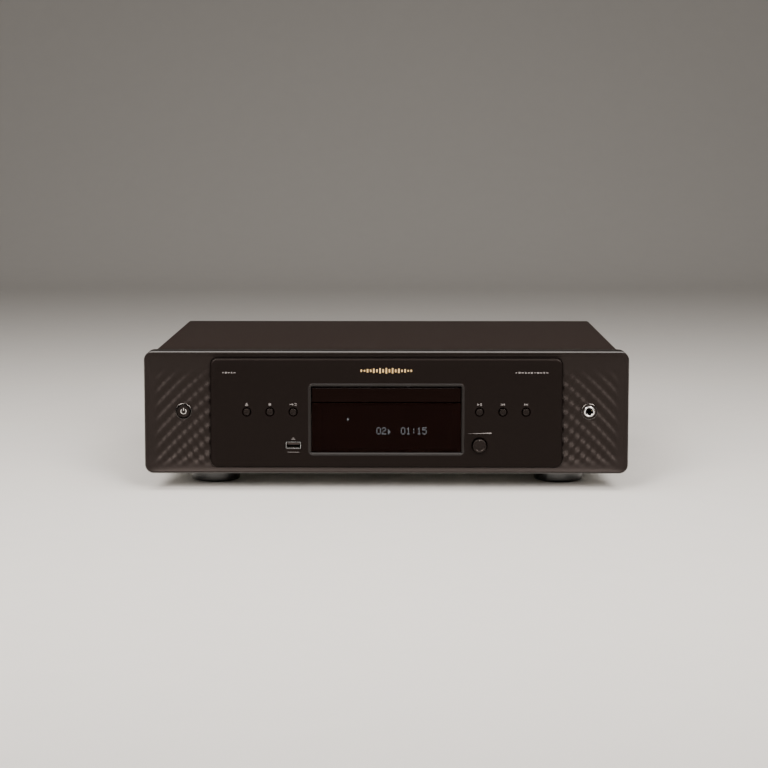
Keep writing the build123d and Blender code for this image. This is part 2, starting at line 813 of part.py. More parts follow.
optical_depth = 14.0
optical_face_y = rear_face_y + 3.0
flap_pivot_y = optical_face_y - 1.2
flap_pivot_z = socket_z + 3.6
with BuildPart() as optical_socket:
    with BuildSketch(front(optical_face_y)):
        with Locations((optical_x, socket_z)):
            RectangleRounded(14, 14, 1)
    extrude(amount=optical_face_y - rear_face_y - 0.1)
    with BuildSketch(front(optical_face_y)):
        with Locations((optical_x, socket_z)):
            Rectangle(11, 11)
    extrude(amount=optical_depth + 3)
    with BuildSketch(front(rear_panel_y - 4)):
        with Locations((optical_x, (board_top_z + socket_z - 5.5) / 2)):
            Rectangle(11, socket_z - 5.5 - board_top_z)
    extrude(amount=8)
    with BuildSketch(front(optical_face_y)):
        with Locations((optical_x, socket_z)):
            Rectangle(9, 9)
    extrude(amount=optical_depth, mode=Mode.SUBTRACT)
    # pivot holes of the flap
    with BuildSketch(Plane.YZ.offset(optical_x)):
        with Locations((flap_pivot_y, flap_pivot_z)):
            Circle(0.6 + running)
    extrude(amount=5.4, both=True, mode=Mode.SUBTRACT)
save(optical_socket, "optical_socket")

with BuildPart() as optical_flap:
    with BuildSketch(Plane.YZ.offset(optical_x)):
        with Locations((flap_pivot_y, flap_pivot_z)):
            Circle(0.6)
    extrude(amount=5.2, both=True)
    with BuildSketch(Plane.YZ.offset(optical_x)):
        with Locations((flap_pivot_y, flap_pivot_z - 3.8)):
            Rectangle(0.8, 7.6)
    extrude(amount=4.2, both=True)
save(optical_flap, "optical_flap")

remote_radius = 1.8
with BuildPart() as remote_sockets:
    with BuildSketch(front(rear_panel_y - 0.2)):
        with Locations(*[(x, (board_top_z + socket_z + 6) / 2) for x in remote_x]):
            Rectangle(11, socket_z + 6 - board_top_z)
    extrude(amount=14)
    with BuildSketch(front(rear_panel_y - 0.2)):
        with Locations(*[(x, socket_z) for x in remote_x]):
            Circle(3.0)
    extrude(amount=-(sheet + 0.4))
    with BuildSketch(front(rear_face_y + 0.1)):
        with Locations(*[(x, socket_z) for x in remote_x]):
            Circle(4.2)
    extrude(amount=-1.8)
    with BuildSketch(front(rear_face_y + 1.9)):
        with Locations(*[(x, socket_z) for x in remote_x]):
            Circle(remote_radius)
    extrude(amount=15, mode=Mode.SUBTRACT)
save(remote_sockets, "remote_sockets")

with BuildPart() as remote_switch:
    with BuildSketch(front(rear_face_y + 2.2)):
        with Locations((remote_switch_x - 2, socket_z)):
            Rectangle(3.2, 3.0)
    extrude(amount=5)
    with BuildSketch(front(rear_panel_y - 0.2)):
        with Locations((remote_switch_x - 2, socket_z)):
            Rectangle(9, 6)
    extrude(amount=1.6)
save(remote_switch, "remote_switch")

# ---------------------------------------------------------------- disc mechanism

with BuildPart() as mechanism_stand:
    stand_length = 150.0
    stand_y = -66.0
    for side in (-1, 1):
        with BuildSketch(Plane.XZ.offset(-(stand_y + stand_length / 2))):
            with BuildLine():
                inner, outer = side * 58.0, side * 72.0
                low, high = base_z + sheet, loader_floor_z
                Polyline(
                    (outer, low), (outer + side * 10, low), (outer + side * 10, low + sheet),
                    (outer + side * sheet, low + sheet), (outer + side * sheet, high), (inner, high),
                    (inner, high - sheet), (outer, high - sheet), close=True,
                )
            make_face()
        extrude(amount=stand_length)
save(mechanism_stand, "mechanism_stand")

floor_top_z = loader_floor_z + 3
ledge_z = tray_bottom_z - 0.1
traverse_front_y = drive_y + 14
pulley_x = tray_gear_x + (tray_gear_teeth + pulley_gear_teeth) * tray_module / 2
with BuildPart() as loader_chassis:
    loader_length = loader_rear_y - loader_front_y
    loader_mid_y = (loader_rear_y + loader_front_y) / 2
    with BuildSketch(Plane.XY.offset(loader_floor_z)):
        with Locations((0, loader_mid_y)):
            Rectangle(2 * loader_half_width, loader_length)
        with Locations((0, (traverse_front_y - 2 + pivot_y + 8) / 2)):
            Rectangle(94, pivot_y + 8 - traverse_front_y + 2, mode=Mode.SUBTRACT)
        with Locations((motor_pulley_x, drive_y)):
            Circle(2, mode=Mode.SUBTRACT)
    extrude(amount=3)
    for side in (-1, 1):
        # side wall
        with BuildSketch(Plane.XY.offset(floor_top_z)):
            with Locations((side * (loader_half_width - 1.5), loader_mid_y)):
                Rectangle(3, loader_length)
        extrude(amount=loader_top_z - floor_top_z)
        # ledge that the tray's edge slides on
        with BuildSketch(Plane.XY.offset(ledge_z - 2.5)):
            with Locations((side * 66, loader_mid_y)):
                Rectangle(10, loader_length)
        extrude(amount=2.5)
        # guide that keeps the tray's edge down
        with BuildSketch(Plane.XY.offset(tray_top_z + 0.2)):
            with Locations(*[(side * 67, y) for y in (-148, -80, -20)]):
                Rectangle(8, 10)
        extrude(amount=2)
        # bracket that carries the traverse's pivot
        with BuildSketch(Plane.YZ.offset(side * 47.2)):
            with Locations((pivot_y, 74)):
                Rectangle(12, 14)
            with Locations((pivot_y, pivot_z)):
                Circle(pivot_radius + running, mode=Mode.SUBTRACT)
        extrude(amount=side * 4)
    # posts that the tray gear and the pulley turn on
    with BuildSketch(Plane.XY.offset(floor_top_z)):
        with Locations((tray_gear_x, drive_y), (pulley_x, drive_y)):
            Circle(3)
    extrude(amount=1.2)
    with BuildSketch(Plane.XY.offset(floor_top_z)):
        with Locations((tray_gear_x, drive_y), (pulley_x, drive_y)):
            Circle(1.5)
    extrude(amount=11)
save(loader_chassis, "loader_chassis")

with BuildPart() as disc_tray:
    tray_length = tray_rear_y - tray_front_y
    with BuildSketch(Plane.XY.offset(tray_bottom_z)):
        with Locations((0, (tray_rear_y + tray_front_y) / 2)):
            Rectangle(2 * tray_half_width, tray_length)
    extrude(amount=tray_top_z - tray_bottom_z)
    with BuildSketch(Plane.XY.offset(seat_z)):
        with Locations((0, disc_y)):
            Circle(disc_radius + 1)
    extrude(amount=tray_top_z - seat_z, mode=Mode.SUBTRACT)
    with BuildSketch(Plane.XY.offset(small_seat_z)):
        with Locations((0, disc_y)):
            Circle(41)
    extrude(amount=seat_z - small_seat_z, mode=Mode.SUBTRACT)
    # slot for the turntable, the pickup and the clamp, open to the rear
    with BuildSketch(Plane.XY.offset(tray_bottom_z)):
        with Locations((0, disc_y)):
            Circle(slot_half_width)
        with Locations((0, (disc_y + tray_rear_y + 1) / 2)):
            Rectangle(2 * slot_half_width, tray_rear_y + 1 - disc_y)
    extrude(amount=tray_top_z - tray_bottom_z, mode=Mode.SUBTRACT)
    # rack under the left side
    with BuildSketch(Plane.XY.offset(rack_bottom_z)):
        add(rack_face(tray_module, tray_rack_x, drive_y, -2, 47, -57.0, 1))
    extrude(amount=tray_bottom_z - rack_bottom_z)
save(disc_tray, "disc_tray")

gear_bore = 1.5 + running
with BuildPart() as tray_gear:
    with BuildSketch(Plane.XY.offset(floor_top_z + 5)):
        add(gear_face(tray_gear_teeth, tray_module, pi))
        Circle(gear_bore, mode=Mode.SUBTRACT)
    extrude(amount=tray_bottom_z - 0.2 - floor_top_z - 5)
    with BuildSketch(Plane.XY.offset(floor_top_z + 1.3)):
        Circle(4)
        Circle(gear_bore, mode=Mode.SUBTRACT)
    extrude(amount=3.7)
tray_gear.part = tray_gear.part.moved(Location((tray_gear_x, drive_y, 0)))
save(tray_gear, "tray_gear")

with BuildPart() as pulley_gear:
    add(grooved_pulley(pulley_groove_radius, pulley_groove_radius + 1.2, gear_bore, belt_z))
    with BuildSketch(Plane.XY.offset(belt_z + 1.6)):
        add(gear_face(pulley_gear_teeth, tray_module, pi + pi / pulley_gear_teeth))
        Circle(gear_bore, mode=Mode.SUBTRACT)
    extrude(amount=5.5)
pulley_gear.part = pulley_gear.part.moved(Location((pulley_x, drive_y, 0)))
save(pulley_gear, "pulley_gear")

with BuildPart() as motor_pulley:
    add(grooved_pulley(motor_groove_radius, motor_groove_radius + 1.2, shaft_radius + running, belt_z))
motor_pulley.part = motor_pulley.part.moved(Location((motor_pulley_x, drive_y, 0)))
save(motor_pulley, "motor_pulley")

with BuildPart() as drive_belt:
    for grow, mode in ((belt_size + 0.02, Mode.ADD), (0.02, Mode.SUBTRACT)):
        with BuildSketch(Plane.XY.offset(belt_z - belt_size / 2)):
            with Locations((pulley_x, drive_y)):
                Circle(pulley_groove_radius + grow)
            with Locations((motor_pulley_x, drive_y)):
                Circle(motor_groove_radius + grow)
            make_hull()
        extrude(amount=belt_size, mode=mode)
save(drive_belt, "drive_belt")

with BuildPart() as loader_motor:
    with BuildSketch(Plane.XY.offset(loader_floor_z)):
        with Locations((motor_pulley_x, drive_y)):
            Circle(motor_radius)
    extrude(amount=-motor_height)
    with BuildSketch(Plane.XY.offset(loader_floor_z)):
        with Locations((motor_pulley_x, drive_y)):
            Circle(shaft_radius)
    extrude(amount=8)
save(loader_motor, "loader_motor")

traverse_top_z = traverse_z + traverse_plate
sled_gear_x = sled_pitch_x - sled_gear_teeth * sled_module / 2
support_front_y = lens_y - 9.0
support_rear_y = lens_y + 59.0
with BuildPart() as traverse_frame:
    with BuildSketch(Plane.XY.offset(traverse_z)):
        with Locations((0, (traverse_front_y + pivot_y) / 2)):
            Rectangle(2 * traverse_half_width, pivot_y - traverse_front_y)
        with Locations((0, lens_y + 23.5)):
            Rectangle(26, 58, mode=Mode.SUBTRACT)
        with Locations((0, disc_y), (sled_gear_x, sled_gear_y)):
            Circle(3, mode=Mode.SUBTRACT)
    extrude(amount=traverse_plate)
    # uprights that hold the guide rods
    with BuildSketch(Plane.XY.offset(traverse_top_z)):
        for y in (support_front_y, support_rear_y):
            with Locations((-rod_x, y), (rod_x, y)):
                Rectangle(6, 3)
    extrude(amount=5)
    with BuildSketch(front(support_front_y - 1.5)):
        with Locations((-rod_x, rod_z), (rod_x, rod_z)):
            Circle(rod_radius)
    extrude(amount=support_front_y - support_rear_y - 3, mode=Mode.SUBTRACT)
    # lugs and pins of the rear pivot
    for side in (-1, 1):
        with BuildSketch(Plane.YZ.offset(side * (traverse_half_width - 4))):
            with Locations((pivot_y, (traverse_top_z + pivot_z - 4) / 2)):
                Rectangle(9, traverse_top_z - pivot_z + 4)
        extrude(amount=side * 4)
        with BuildSketch(Plane.YZ.offset(side * traverse_half_width)):
            with Locations((pivot_y, pivot_z)):
                Circle(pivot_radius)
        extrude(amount=side * 7)
save(traverse_frame, "traverse_frame")

with BuildPart() as guide_rods:
    with BuildSketch(front(support_front_y - 1.5)):
        with Locations((-rod_x, rod_z), (rod_x, rod_z)):
            Circle(rod_radius)
    extrude(amount=support_front_y - support_rear_y - 3)
save(guide_rods, "guide_rods")

with BuildPart() as optical_pickup:
    with BuildSketch(Plane.XY.offset(traverse_top_z + 0.3)):
        with Locations((0, lens_y + 8)):
            Rectangle(38, 27)
    extrude(amount=5.2)
    with BuildSketch(Plane.XY.offset(traverse_z - 3)):
        with Locations((0, lens_y + 7)):
            Rectangle(22, 21)
    extrude(amount=6)
    with BuildSketch(Plane.XY.offset(traverse_top_z + 5.5)):
        with Locations((0, lens_y + 6)):
            Rectangle(24, 20)
    extrude(amount=2.2)
    with BuildSketch(Plane.XY.offset(traverse_top_z + 7.7)):
        with Locations((0, lens_y)):
            Circle(2.5)
    extrude(amount=1.0)
    with BuildSketch(front(lens_y - 10)):
        with Locations((-rod_x, rod_z), (rod_x, rod_z)):
            Circle(rod_radius + running)
    extrude(amount=-40, mode=Mode.SUBTRACT)
    # rack on the left side, longer than the body so that it stays in mesh over the whole travel
    with BuildSketch(Plane.XY.offset(traverse_top_z + 1)):
        add(rack_face(sled_module, sled_pitch_x, sled_gear_y, -15, 2, -19.0, -1))
    extrude(amount=3)
save(optical_pickup, "optical_pickup")

with BuildPart() as sled_gear:
    with BuildSketch(Plane.XY.offset(traverse_top_z + 0.5)):
        add(gear_face(sled_gear_teeth, sled_module, 0))
        Circle(shaft_radius + running, mode=Mode.SUBTRACT)
    extrude(amount=4)
sled_gear.part = sled_gear.part.moved(Location((sled_gear_x, sled_gear_y, 0)))
save(sled_gear, "sled_gear")

with BuildPart() as traverse_motors:
    motor_points = [(0, disc_y), (sled_gear_x, sled_gear_y)]
    with BuildSketch(Plane.XY.offset(traverse_z)):
        with Locations(*motor_points):
            Circle(motor_radius)
    extrude(amount=-motor_height)
    with BuildSketch(Plane.XY.offset(traverse_z)):
        with Locations(*motor_points):
            Circle(shaft_radius)
    extrude(amount=traverse_plate + 5.5)
save(traverse_motors, "traverse_motors")

with BuildPart() as turntable:
    with BuildSketch(Plane.XY.offset(traverse_top_z + 0.8)):
        Circle(4)
    extrude(amount=turntable_seat_z - 2 - traverse_top_z - 0.8)
    with BuildSketch(Plane.XY.offset(turntable_seat_z - 2)):
        Circle(15)
    extrude(amount=2)
    with BuildSketch(Plane.XY.offset(turntable_seat_z)):
        Circle(7.4)
    extrude(amount=1.6, taper=20)
    with BuildSketch(Plane.XY.offset(traverse_top_z + 0.8)):
        Circle(shaft_radius + running)
    extrude(amount=5, mode=Mode.SUBTRACT)
turntable.part = turntable.part.moved(Location((0, disc_y, 0)))
save(turntable, "turntable")

bridge_top_z = loader_top_z + 1.5
puck_z = turntable_seat_z + disc_thickness + 0.2
with BuildPart() as clamp_bridge:
    with BuildSketch(Plane.XY.offset(loader_top_z)):
        with Locations((0, disc_y)):
            Rectangle(2 * loader_half_width, 32)
            Circle(10.5, mode=Mode.SUBTRACT)
    extrude(amount=1.5)
save(clamp_bridge, "clamp_bridge")

with BuildPart() as clamp_puck:
    with BuildSketch(Plane.XY.offset(puck_z)):
        Circle(17)
        Circle(10, mode=Mode.SUBTRACT)
    extrude(amount=1.5)
    with BuildSketch(Plane.XY.offset(puck_z + 1.5)):
        Circle(17)
    extrude(amount=1.5)
    with BuildSketch(Plane.XY.offset(puck_z + 3)):
        Circle(9)
    extrude(amount=bridge_top_z + 0.1 - puck_z - 3)
    with BuildSketch(Plane.XY.offset(bridge_top_z + 0.1)):
        Circle(14)
    extrude(amount=2)
clamp_puck.part = clamp_puck.part.moved(Location((0, disc_y, 0)))
save(clamp_puck, "clamp_puck")
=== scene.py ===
"""The looks of the disc player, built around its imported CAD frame.

Metres, +X right seen from the front, +Y to the rear, +Z up. Lengths are written in millimetres times MM,
and the profiles for lathe, ring and stepped in plain millimetres.
"""

import json
from math import cos, pi, radians, sin

import bmesh
import bpy
import numpy as np
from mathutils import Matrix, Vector

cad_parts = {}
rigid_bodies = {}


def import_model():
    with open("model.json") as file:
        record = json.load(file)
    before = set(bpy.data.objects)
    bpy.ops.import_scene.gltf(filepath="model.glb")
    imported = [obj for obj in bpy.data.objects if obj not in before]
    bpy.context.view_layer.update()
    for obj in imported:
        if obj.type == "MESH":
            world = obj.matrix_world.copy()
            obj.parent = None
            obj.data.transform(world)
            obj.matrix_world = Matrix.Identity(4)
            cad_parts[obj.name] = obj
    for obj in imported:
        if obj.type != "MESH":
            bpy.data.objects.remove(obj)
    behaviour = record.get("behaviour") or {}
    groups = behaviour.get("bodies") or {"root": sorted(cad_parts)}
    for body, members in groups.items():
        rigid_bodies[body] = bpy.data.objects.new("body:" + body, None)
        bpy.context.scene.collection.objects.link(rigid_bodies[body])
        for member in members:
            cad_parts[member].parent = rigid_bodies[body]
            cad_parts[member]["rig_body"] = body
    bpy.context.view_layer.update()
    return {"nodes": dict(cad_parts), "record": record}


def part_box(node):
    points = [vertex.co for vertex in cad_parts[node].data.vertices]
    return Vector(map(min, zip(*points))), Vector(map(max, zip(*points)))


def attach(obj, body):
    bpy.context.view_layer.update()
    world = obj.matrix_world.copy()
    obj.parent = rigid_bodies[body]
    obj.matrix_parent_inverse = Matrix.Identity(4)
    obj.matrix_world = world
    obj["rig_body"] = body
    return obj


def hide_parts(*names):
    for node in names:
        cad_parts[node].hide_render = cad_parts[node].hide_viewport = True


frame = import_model()

MM = 0.001
REAR = Vector((0, 1, 0))


# ------------------------------------------------------------------ places taken from the frame

plate_low, plate_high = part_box("front_plate")
bezel_low, bezel_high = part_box("front_bezel")
PLATE_Y = plate_low.y
PLATE_BACK_Y = plate_high.y
PANEL_Z = (bezel_low.z + bezel_high.z) / 2
RIM_Y = bezel_low.y
BEZEL_BACK_Y = bezel_high.y
HALF_WIDTH = bezel_high.x
HALF_HEIGHT = bezel_high.z - PANEL_Z
PLATE_HALF_WIDTH = plate_high.x
PLATE_HALF_HEIGHT = (plate_high.z - plate_low.z) / 2
FLOOR_THICKNESS = 3.0 * MM
WINDOW_HALF_WIDTH = 70.5 * MM
WINDOW_HALF_HEIGHT = 32.3 * MM
WINDOW_Z = PANEL_Z - 6.2 * MM
WINDOW_CHAMFER = 1.8 * MM


def centre(node):
    low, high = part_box(node)
    return (low + high) / 2


KEYS = ("open_close_button", "stop_button", "input_button",
        "play_pause_button", "skip_back_button", "skip_forward_button")
KEY_Z = centre("stop_button").z
KNOB = centre("phones_level_knob")
USB = centre("usb_shell")
POWER = centre("power_button")
PHONES = centre("phones_socket")


# ------------------------------------------------------------------ materials

def link(tree, source, output, target, name):
    tree.links.new(source.outputs[output], target.inputs[name])


MOTTLE_SCALE = 28               # of the slow noise, per metre
UNEVEN = 0.08                   # share by which the roughness varies
COAT_ROUGHNESS = 0.12


def surface(name, colour, roughness, metallic=0.0, specular=0.5, coat=0.0, grain=0.5, relief=0.01,
            mottle=0.10, stretch=(1, 1, 1), alpha=1.0, glow=0.0, sheen_tint=(1, 1, 1)):
    """A procedural finish. Its grain, in mm, gives a bump of relief mm, drawn out by stretch, and a slow
    mottle varies its colour. Its highlights take sheen_tint."""
    made = bpy.data.materials.new(name)
    made.use_nodes = True
    tree = made.node_tree
    shader = tree.nodes["Principled BSDF"]
    place = tree.nodes.new("ShaderNodeTexCoord")
    scale = tree.nodes.new("ShaderNodeMapping")
    scale.inputs["Scale"].default_value = stretch
    link(tree, place, "Object", scale, "Vector")
    fine = tree.nodes.new("ShaderNodeTexNoise")
    fine.inputs["Scale"].default_value = 1 / (grain * MM)
    fine.inputs["Detail"].default_value = 3
    link(tree, scale, "Vector", fine, "Vector")
    slow = tree.nodes.new("ShaderNodeTexNoise")
    slow.inputs["Scale"].default_value = MOTTLE_SCALE
    slow.inputs["Detail"].default_value = 4
    link(tree, place, "Object", slow, "Vector")

    tint = tree.nodes.new("ShaderNodeMix")
    tint.data_type = "RGBA"
    tint.inputs["A"].default_value = (*[c * (1 - mottle) for c in colour], 1)
    tint.inputs["B"].default_value = (*[min(1, c * (1 + mottle)) for c in colour], 1)
    link(tree, slow, "Fac", tint, "Factor")
    link(tree, tint, "Result", shader, "Base Color")

    rough = tree.nodes.new("ShaderNodeMapRange")
    rough.inputs["To Min"].default_value = max(0.01, roughness * (1 - UNEVEN))
    rough.inputs["To Max"].default_value = min(1.0, roughness * (1 + UNEVEN))
    link(tree, fine, "Fac", rough, "Value")
    link(tree, rough, "Result", shader, "Roughness")

    bump = tree.nodes.new("ShaderNodeBump")
    bump.inputs["Strength"].default_value = 1.0
    bump.inputs["Distance"].default_value = relief * MM
    link(tree, fine, "Fac", bump, "Height")
    link(tree, bump, "Normal", shader, "Normal")

    shader.inputs["Metallic"].default_value = metallic
    shader.inputs["Specular IOR Level"].default_value = specular
    # the specular tint paints a colour into the real reflections
    shader.inputs["Specular Tint"].default_value = (*sheen_tint, 1)
    shader.inputs["Coat Weight"].default_value = coat
    shader.inputs["Coat Roughness"].default_value = COAT_ROUGHNESS
    shader.inputs["Alpha"].default_value = alpha
    if glow:
        shader.inputs["Emission Color"].default_value = (*colour, 1)
        shader.inputs["Emission Strength"].default_value = glow
    return made


# painted reflection colours: the highlights are real, but these warm tints on them stand in for warm
# surroundings mirrored in the surfaces
PAINTED_WARM_REFLECTION = (1.0, 0.84, 0.78)        # tints of the highlights
PAINTED_RUDDY_REFLECTION = (1.0, 0.62, 0.54)
looks = {
    "textured_plastic": dict(colour=(0.0024, 0.0014, 0.0012), roughness=0.42, specular=0.21, grain=0.35,
                             relief=0.006, sheen_tint=PAINTED_WARM_REFLECTION),
    "anodised_aluminium": dict(colour=(0.0020, 0.0011, 0.0009), roughness=0.36, specular=0.11, grain=0.22,
                               relief=0.004, mottle=0.06, sheen_tint=PAINTED_WARM_REFLECTION),
    "smoked_window": dict(colour=(0.0014, 0.0003, 0.0002), roughness=0.06, specular=0.05, grain=8,
                          relief=0.001, alpha=0.88, sheen_tint=PAINTED_RUDDY_REFLECTION),
    "gloss_black": dict(colour=(0.0016, 0.0006, 0.0005), roughness=0.14, specular=0.06, grain=1.5,
                        relief=0.001, sheen_tint=PAINTED_RUDDY_REFLECTION),
    "frame_sheen": dict(colour=(0.0050, 0.0034, 0.0030), roughness=0.30, specular=0.26, grain=0.4,
                        relief=0.002),
    "edge_sheen": dict(colour=(0.012, 0.009, 0.008), roughness=0.28, specular=0.80, grain=0.4,
                       relief=0.002),
    "foot_gloss": dict(colour=(0.010, 0.009, 0.009), roughness=0.16, coat=0.6, grain=1.0, relief=0.002),
    "black_plastic": dict(colour=(0.0090, 0.0064, 0.0058), roughness=0.36, specular=0.38, grain=0.3,
                          relief=0.006, sheen_tint=PAINTED_WARM_REFLECTION),
    "key_black": dict(colour=(0.0026, 0.0018, 0.0016), roughness=0.30, specular=0.17, grain=0.3,
                      relief=0.004, sheen_tint=PAINTED_WARM_REFLECTION),
    "painted_steel": dict(colour=(0.0100, 0.0060, 0.0050), roughness=0.50, specular=0.20, grain=0.7,
                          relief=0.03, sheen_tint=PAINTED_RUDDY_REFLECTION),
    "plated_steel": dict(colour=(0.52, 0.52, 0.50), roughness=0.34, metallic=1.0, grain=1.2, relief=0.006,
                         mottle=0.16, stretch=(1, 0.15, 1)),
    "steel": dict(colour=(0.50, 0.50, 0.50), roughness=0.26, metallic=1.0, grain=0.4, relief=0.004),
    "dark_metal": dict(colour=(0.10, 0.092, 0.088), roughness=0.22, metallic=1.0, grain=0.5,
                       relief=0.002),
    "chrome": dict(colour=(0.72, 0.71, 0.70), roughness=0.09, metallic=1.0, grain=2, relief=0.001),
    "gold": dict(colour=(0.83, 0.58, 0.25), roughness=0.20, metallic=1.0, grain=0.5, relief=0.002),
    "gold_mark": dict(colour=(0.74, 0.51, 0.24), roughness=0.34, metallic=0.85, grain=0.2, relief=0.003),
    "felt": dict(colour=(0.025, 0.023, 0.022), roughness=0.95, specular=0.1, grain=0.35, relief=0.15,
                 mottle=0.3),
    "circuit_board": dict(colour=(0.012, 0.075, 0.030), roughness=0.30, grain=2.5, relief=0.02,
                          mottle=0.25),
    "component_black": dict(colour=(0.018, 0.017, 0.018), roughness=0.35, grain=0.8, relief=0.01),
    "winding": dict(colour=(0.42, 0.25, 0.06), roughness=0.45, grain=1.6, relief=0.15, mottle=0.3,
                    stretch=(1, 1, 0.3)),
    "mechanism_plastic": dict(colour=(0.016, 0.016, 0.017), roughness=0.48, grain=0.4, relief=0.02),
    "gear_plastic": dict(colour=(0.74, 0.71, 0.60), roughness=0.42, grain=0.6, relief=0.01),
    "belt_rubber": dict(colour=(0.012, 0.012, 0.012), roughness=0.75, grain=0.3, relief=0.03),
    "flat_cable": dict(colour=(0.62, 0.62, 0.64), roughness=0.45, grain=1.0, relief=0.05,
                       stretch=(1, 0.02, 0.02)),
    "print_grey": dict(colour=(0.12, 0.108, 0.104), roughness=0.60, grain=0.2, relief=0.003),
    "print_white": dict(colour=(0.42, 0.40, 0.38), roughness=0.55, grain=0.2, relief=0.003),
    "display_glow": dict(colour=(0.80, 0.86, 0.92), roughness=0.5, glow=20.0, grain=0.5, relief=0.001),
    "insulator_white": dict(colour=(0.70, 0.69, 0.66), roughness=0.40, grain=0.5, relief=0.005),
    "insulator_red": dict(colour=(0.45, 0.015, 0.012), roughness=0.40, grain=0.5, relief=0.005),
    "insulator_orange": dict(colour=(0.60, 0.17, 0.02), roughness=0.40, grain=0.5, relief=0.005),
}
finish = {name: surface(name, **look) for name, look in looks.items()}


# ------------------------------------------------------------------ mesh tools

def rounded_loop(half_x, half_z, radius, along_x, along_z, corner):
    """A rounded rectangle's points about (0, 0) in X and Z, anticlockwise seen from the front, from its
    right side."""
    flat_x, flat_z = half_x - radius, half_z - radius
    points = []
    sides = (
        ((half_x, -flat_z), (half_x, flat_z), along_z, (flat_x, flat_z), 0),
        ((flat_x, half_z), (-flat_x, half_z), along_x, (-flat_x, flat_z), 90),
        ((-half_x, flat_z), (-half_x, -flat_z), along_z, (-flat_x, -flat_z), 180),
        ((-flat_x, -half_z), (flat_x, -half_z), along_x, (flat_x, -flat_z), 270),
    )
    for start, end, steps, middle, angle in sides:
        for k in range(steps):
            t = k / steps
            points.append((start[0] + (end[0] - start[0]) * t,
                           start[1] + (end[1] - start[1]) * t))
        for k in range(corner):
            a = radians(angle + 90 * k / corner)
            points.append((middle[0] + radius * cos(a), middle[1] + radius * sin(a)))
    return points


def mesh_object(name, vertices, faces):
    mesh = bpy.data.meshes.new(name)
    mesh.from_pydata([tuple(v) for v in vertices], [], faces)
    mesh.update()
    made = bpy.data.objects.new(name, mesh)
    bpy.context.scene.collection.objects.link(made)
    return made


def loops_object(name, loops, closed=False):
    """A skin through loops that have the same number of points. A closed skin joins the last loop to the
    first, and an open one has its two ends capped."""
    count = len(loops[0])
    vertices = [p for loop in loops for p in loop]
    faces = []
    last = len(loops) if closed else len(loops) - 1
    for i in range(last):
        a, b = i * count, (i + 1) % len(loops) * count
        for k in range(count):
            n = (k + 1) % count
            faces.append((a + k, a + n, b + n, b + k))
    if not closed:
        faces.append(tuple(range(count))[::-1])
        faces.append(tuple(range((len(loops) - 1) * count, len(loops) * count)))
    return mesh_object(name, vertices, faces)


def modify(obj, kind, **settings):
    """Adds a modifier and applies it."""
    modifier = obj.modifiers.new(kind.lower(), kind)
    for key, value in settings.items():
        setattr(modifier, key, value)
    graph = bpy.context.evaluated_depsgraph_get()
    mesh = bpy.data.meshes.new_from_object(obj.evaluated_get(graph))
    obj.modifiers.clear()
    old = obj.data
    obj.data = mesh
    bpy.data.meshes.remove(old)


def outward(obj):
    """Turns every face's normal outwards."""
    bm = bmesh.new()
    bm.from_mesh(obj.data)
    bmesh.ops.recalc_face_normals(bm, faces=bm.faces)
    bm.to_mesh(obj.data)
    bm.free()


def smooth(obj, angle=32):
    """Shades the object smooth, with edges sharper than angle kept crisp and flat faces kept flat."""
    outward(obj)
    mesh = obj.data
    mesh.shade_smooth()
    bm = bmesh.new()
    bm.from_mesh(mesh)
    limit = radians(angle)
    for edge in bm.edges:
        edge.smooth = len(edge.link_faces) == 2 and edge.calc_face_angle(0) < limit
    bm.to_mesh(mesh)
    bm.free()
    modify(obj, "WEIGHTED_NORMAL", keep_sharp=True)


def bevelled(obj, width, angle=30):
    """Rounds the edges that are sharper than angle."""
    modify(obj, "BEVEL", width=width, segments=2, limit_method="ANGLE", angle_limit=radians(angle),
           use_clamp_overlap=True, harden_normals=False)


def joined(name, parts):
    """One object from several, which are used up."""
    bm = bmesh.new()
    for part in parts:
        part.data.transform(part.matrix_world)
        bm.from_mesh(part.data)
        bpy.data.objects.remove(part)
    mesh = bpy.data.meshes.new(name)
    bm.to_mesh(mesh)
    bm.free()
    made = bpy.data.objects.new(name, mesh)
    bpy.context.scene.collection.objects.link(made)
    return made


def cut(obj, cutters):
    """Takes the cutters, which are used up, out of the object."""
    tool = joined("cutter", cutters)
    outward(tool)
    outward(obj)
    modify(obj, "BOOLEAN", operation="DIFFERENCE", object=tool, solver="EXACT")
    bpy.data.objects.remove(tool)


POINT = 0.01                    # mm, the radius that stands for none at the end of a profile


def turned(profile, at, axis, segments):
    """The loops that a profile of (radius, distance along axis) pairs, in mm, makes about an axis."""
    turn = axis.to_track_quat("Z", "Y").to_matrix()
    round_about = [2 * pi * k / segments for k in range(segments)]
    return [[at + turn @ Vector((radius * cos(a), radius * sin(a), height)) * MM for a in round_about]
            for radius, height in profile]


def lathe(name, profile, at, axis=REAR, segments=48):
    """Turns a profile about an axis through a point. A first or last radius of 0 closes that end in a
    point, and any other end gets a flat cap."""
    profile = [(max(radius, POINT), height) for radius, height in profile]
    return loops_object(name, turned(profile, at, axis, segments))


def ring(name, profile, at, segments=48):
    """Turns a closed profile about an axis that runs to the rear."""
    return loops_object(name, turned(profile, at, REAR, segments), closed=True)


def prism(name, outline, low, high, axis="Y"):
    """A straight prism of an outline between two places along an axis. An outline on Y is in X and Z, and
    one on X is in Y and Z."""
    def loop(t):
        return [(t, a, b) if axis == "X" else (a, t, b) for a, b in outline]

    return loops_object(name, [loop(low), loop(high)])


def rectangle(x, z, width, height):
    """A rectangle's corners about a middle."""
    return [(x - width / 2, z - height / 2), (x + width / 2, z - height / 2),
            (x + width / 2, z + height / 2), (x - width / 2, z + height / 2)]


def piece(obj, body, slot, material=None, replaces=()):
    """Gives a finished object its body and its material, the one named or else its slot's, and hides the
    CAD nodes it stands for.
    """
    obj.data.materials.clear()
    obj.data.materials.append(finish[material or slot])
    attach(obj, body)
    if replaces:
        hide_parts(*replaces)


# ------------------------------------------------------------------ front bezel

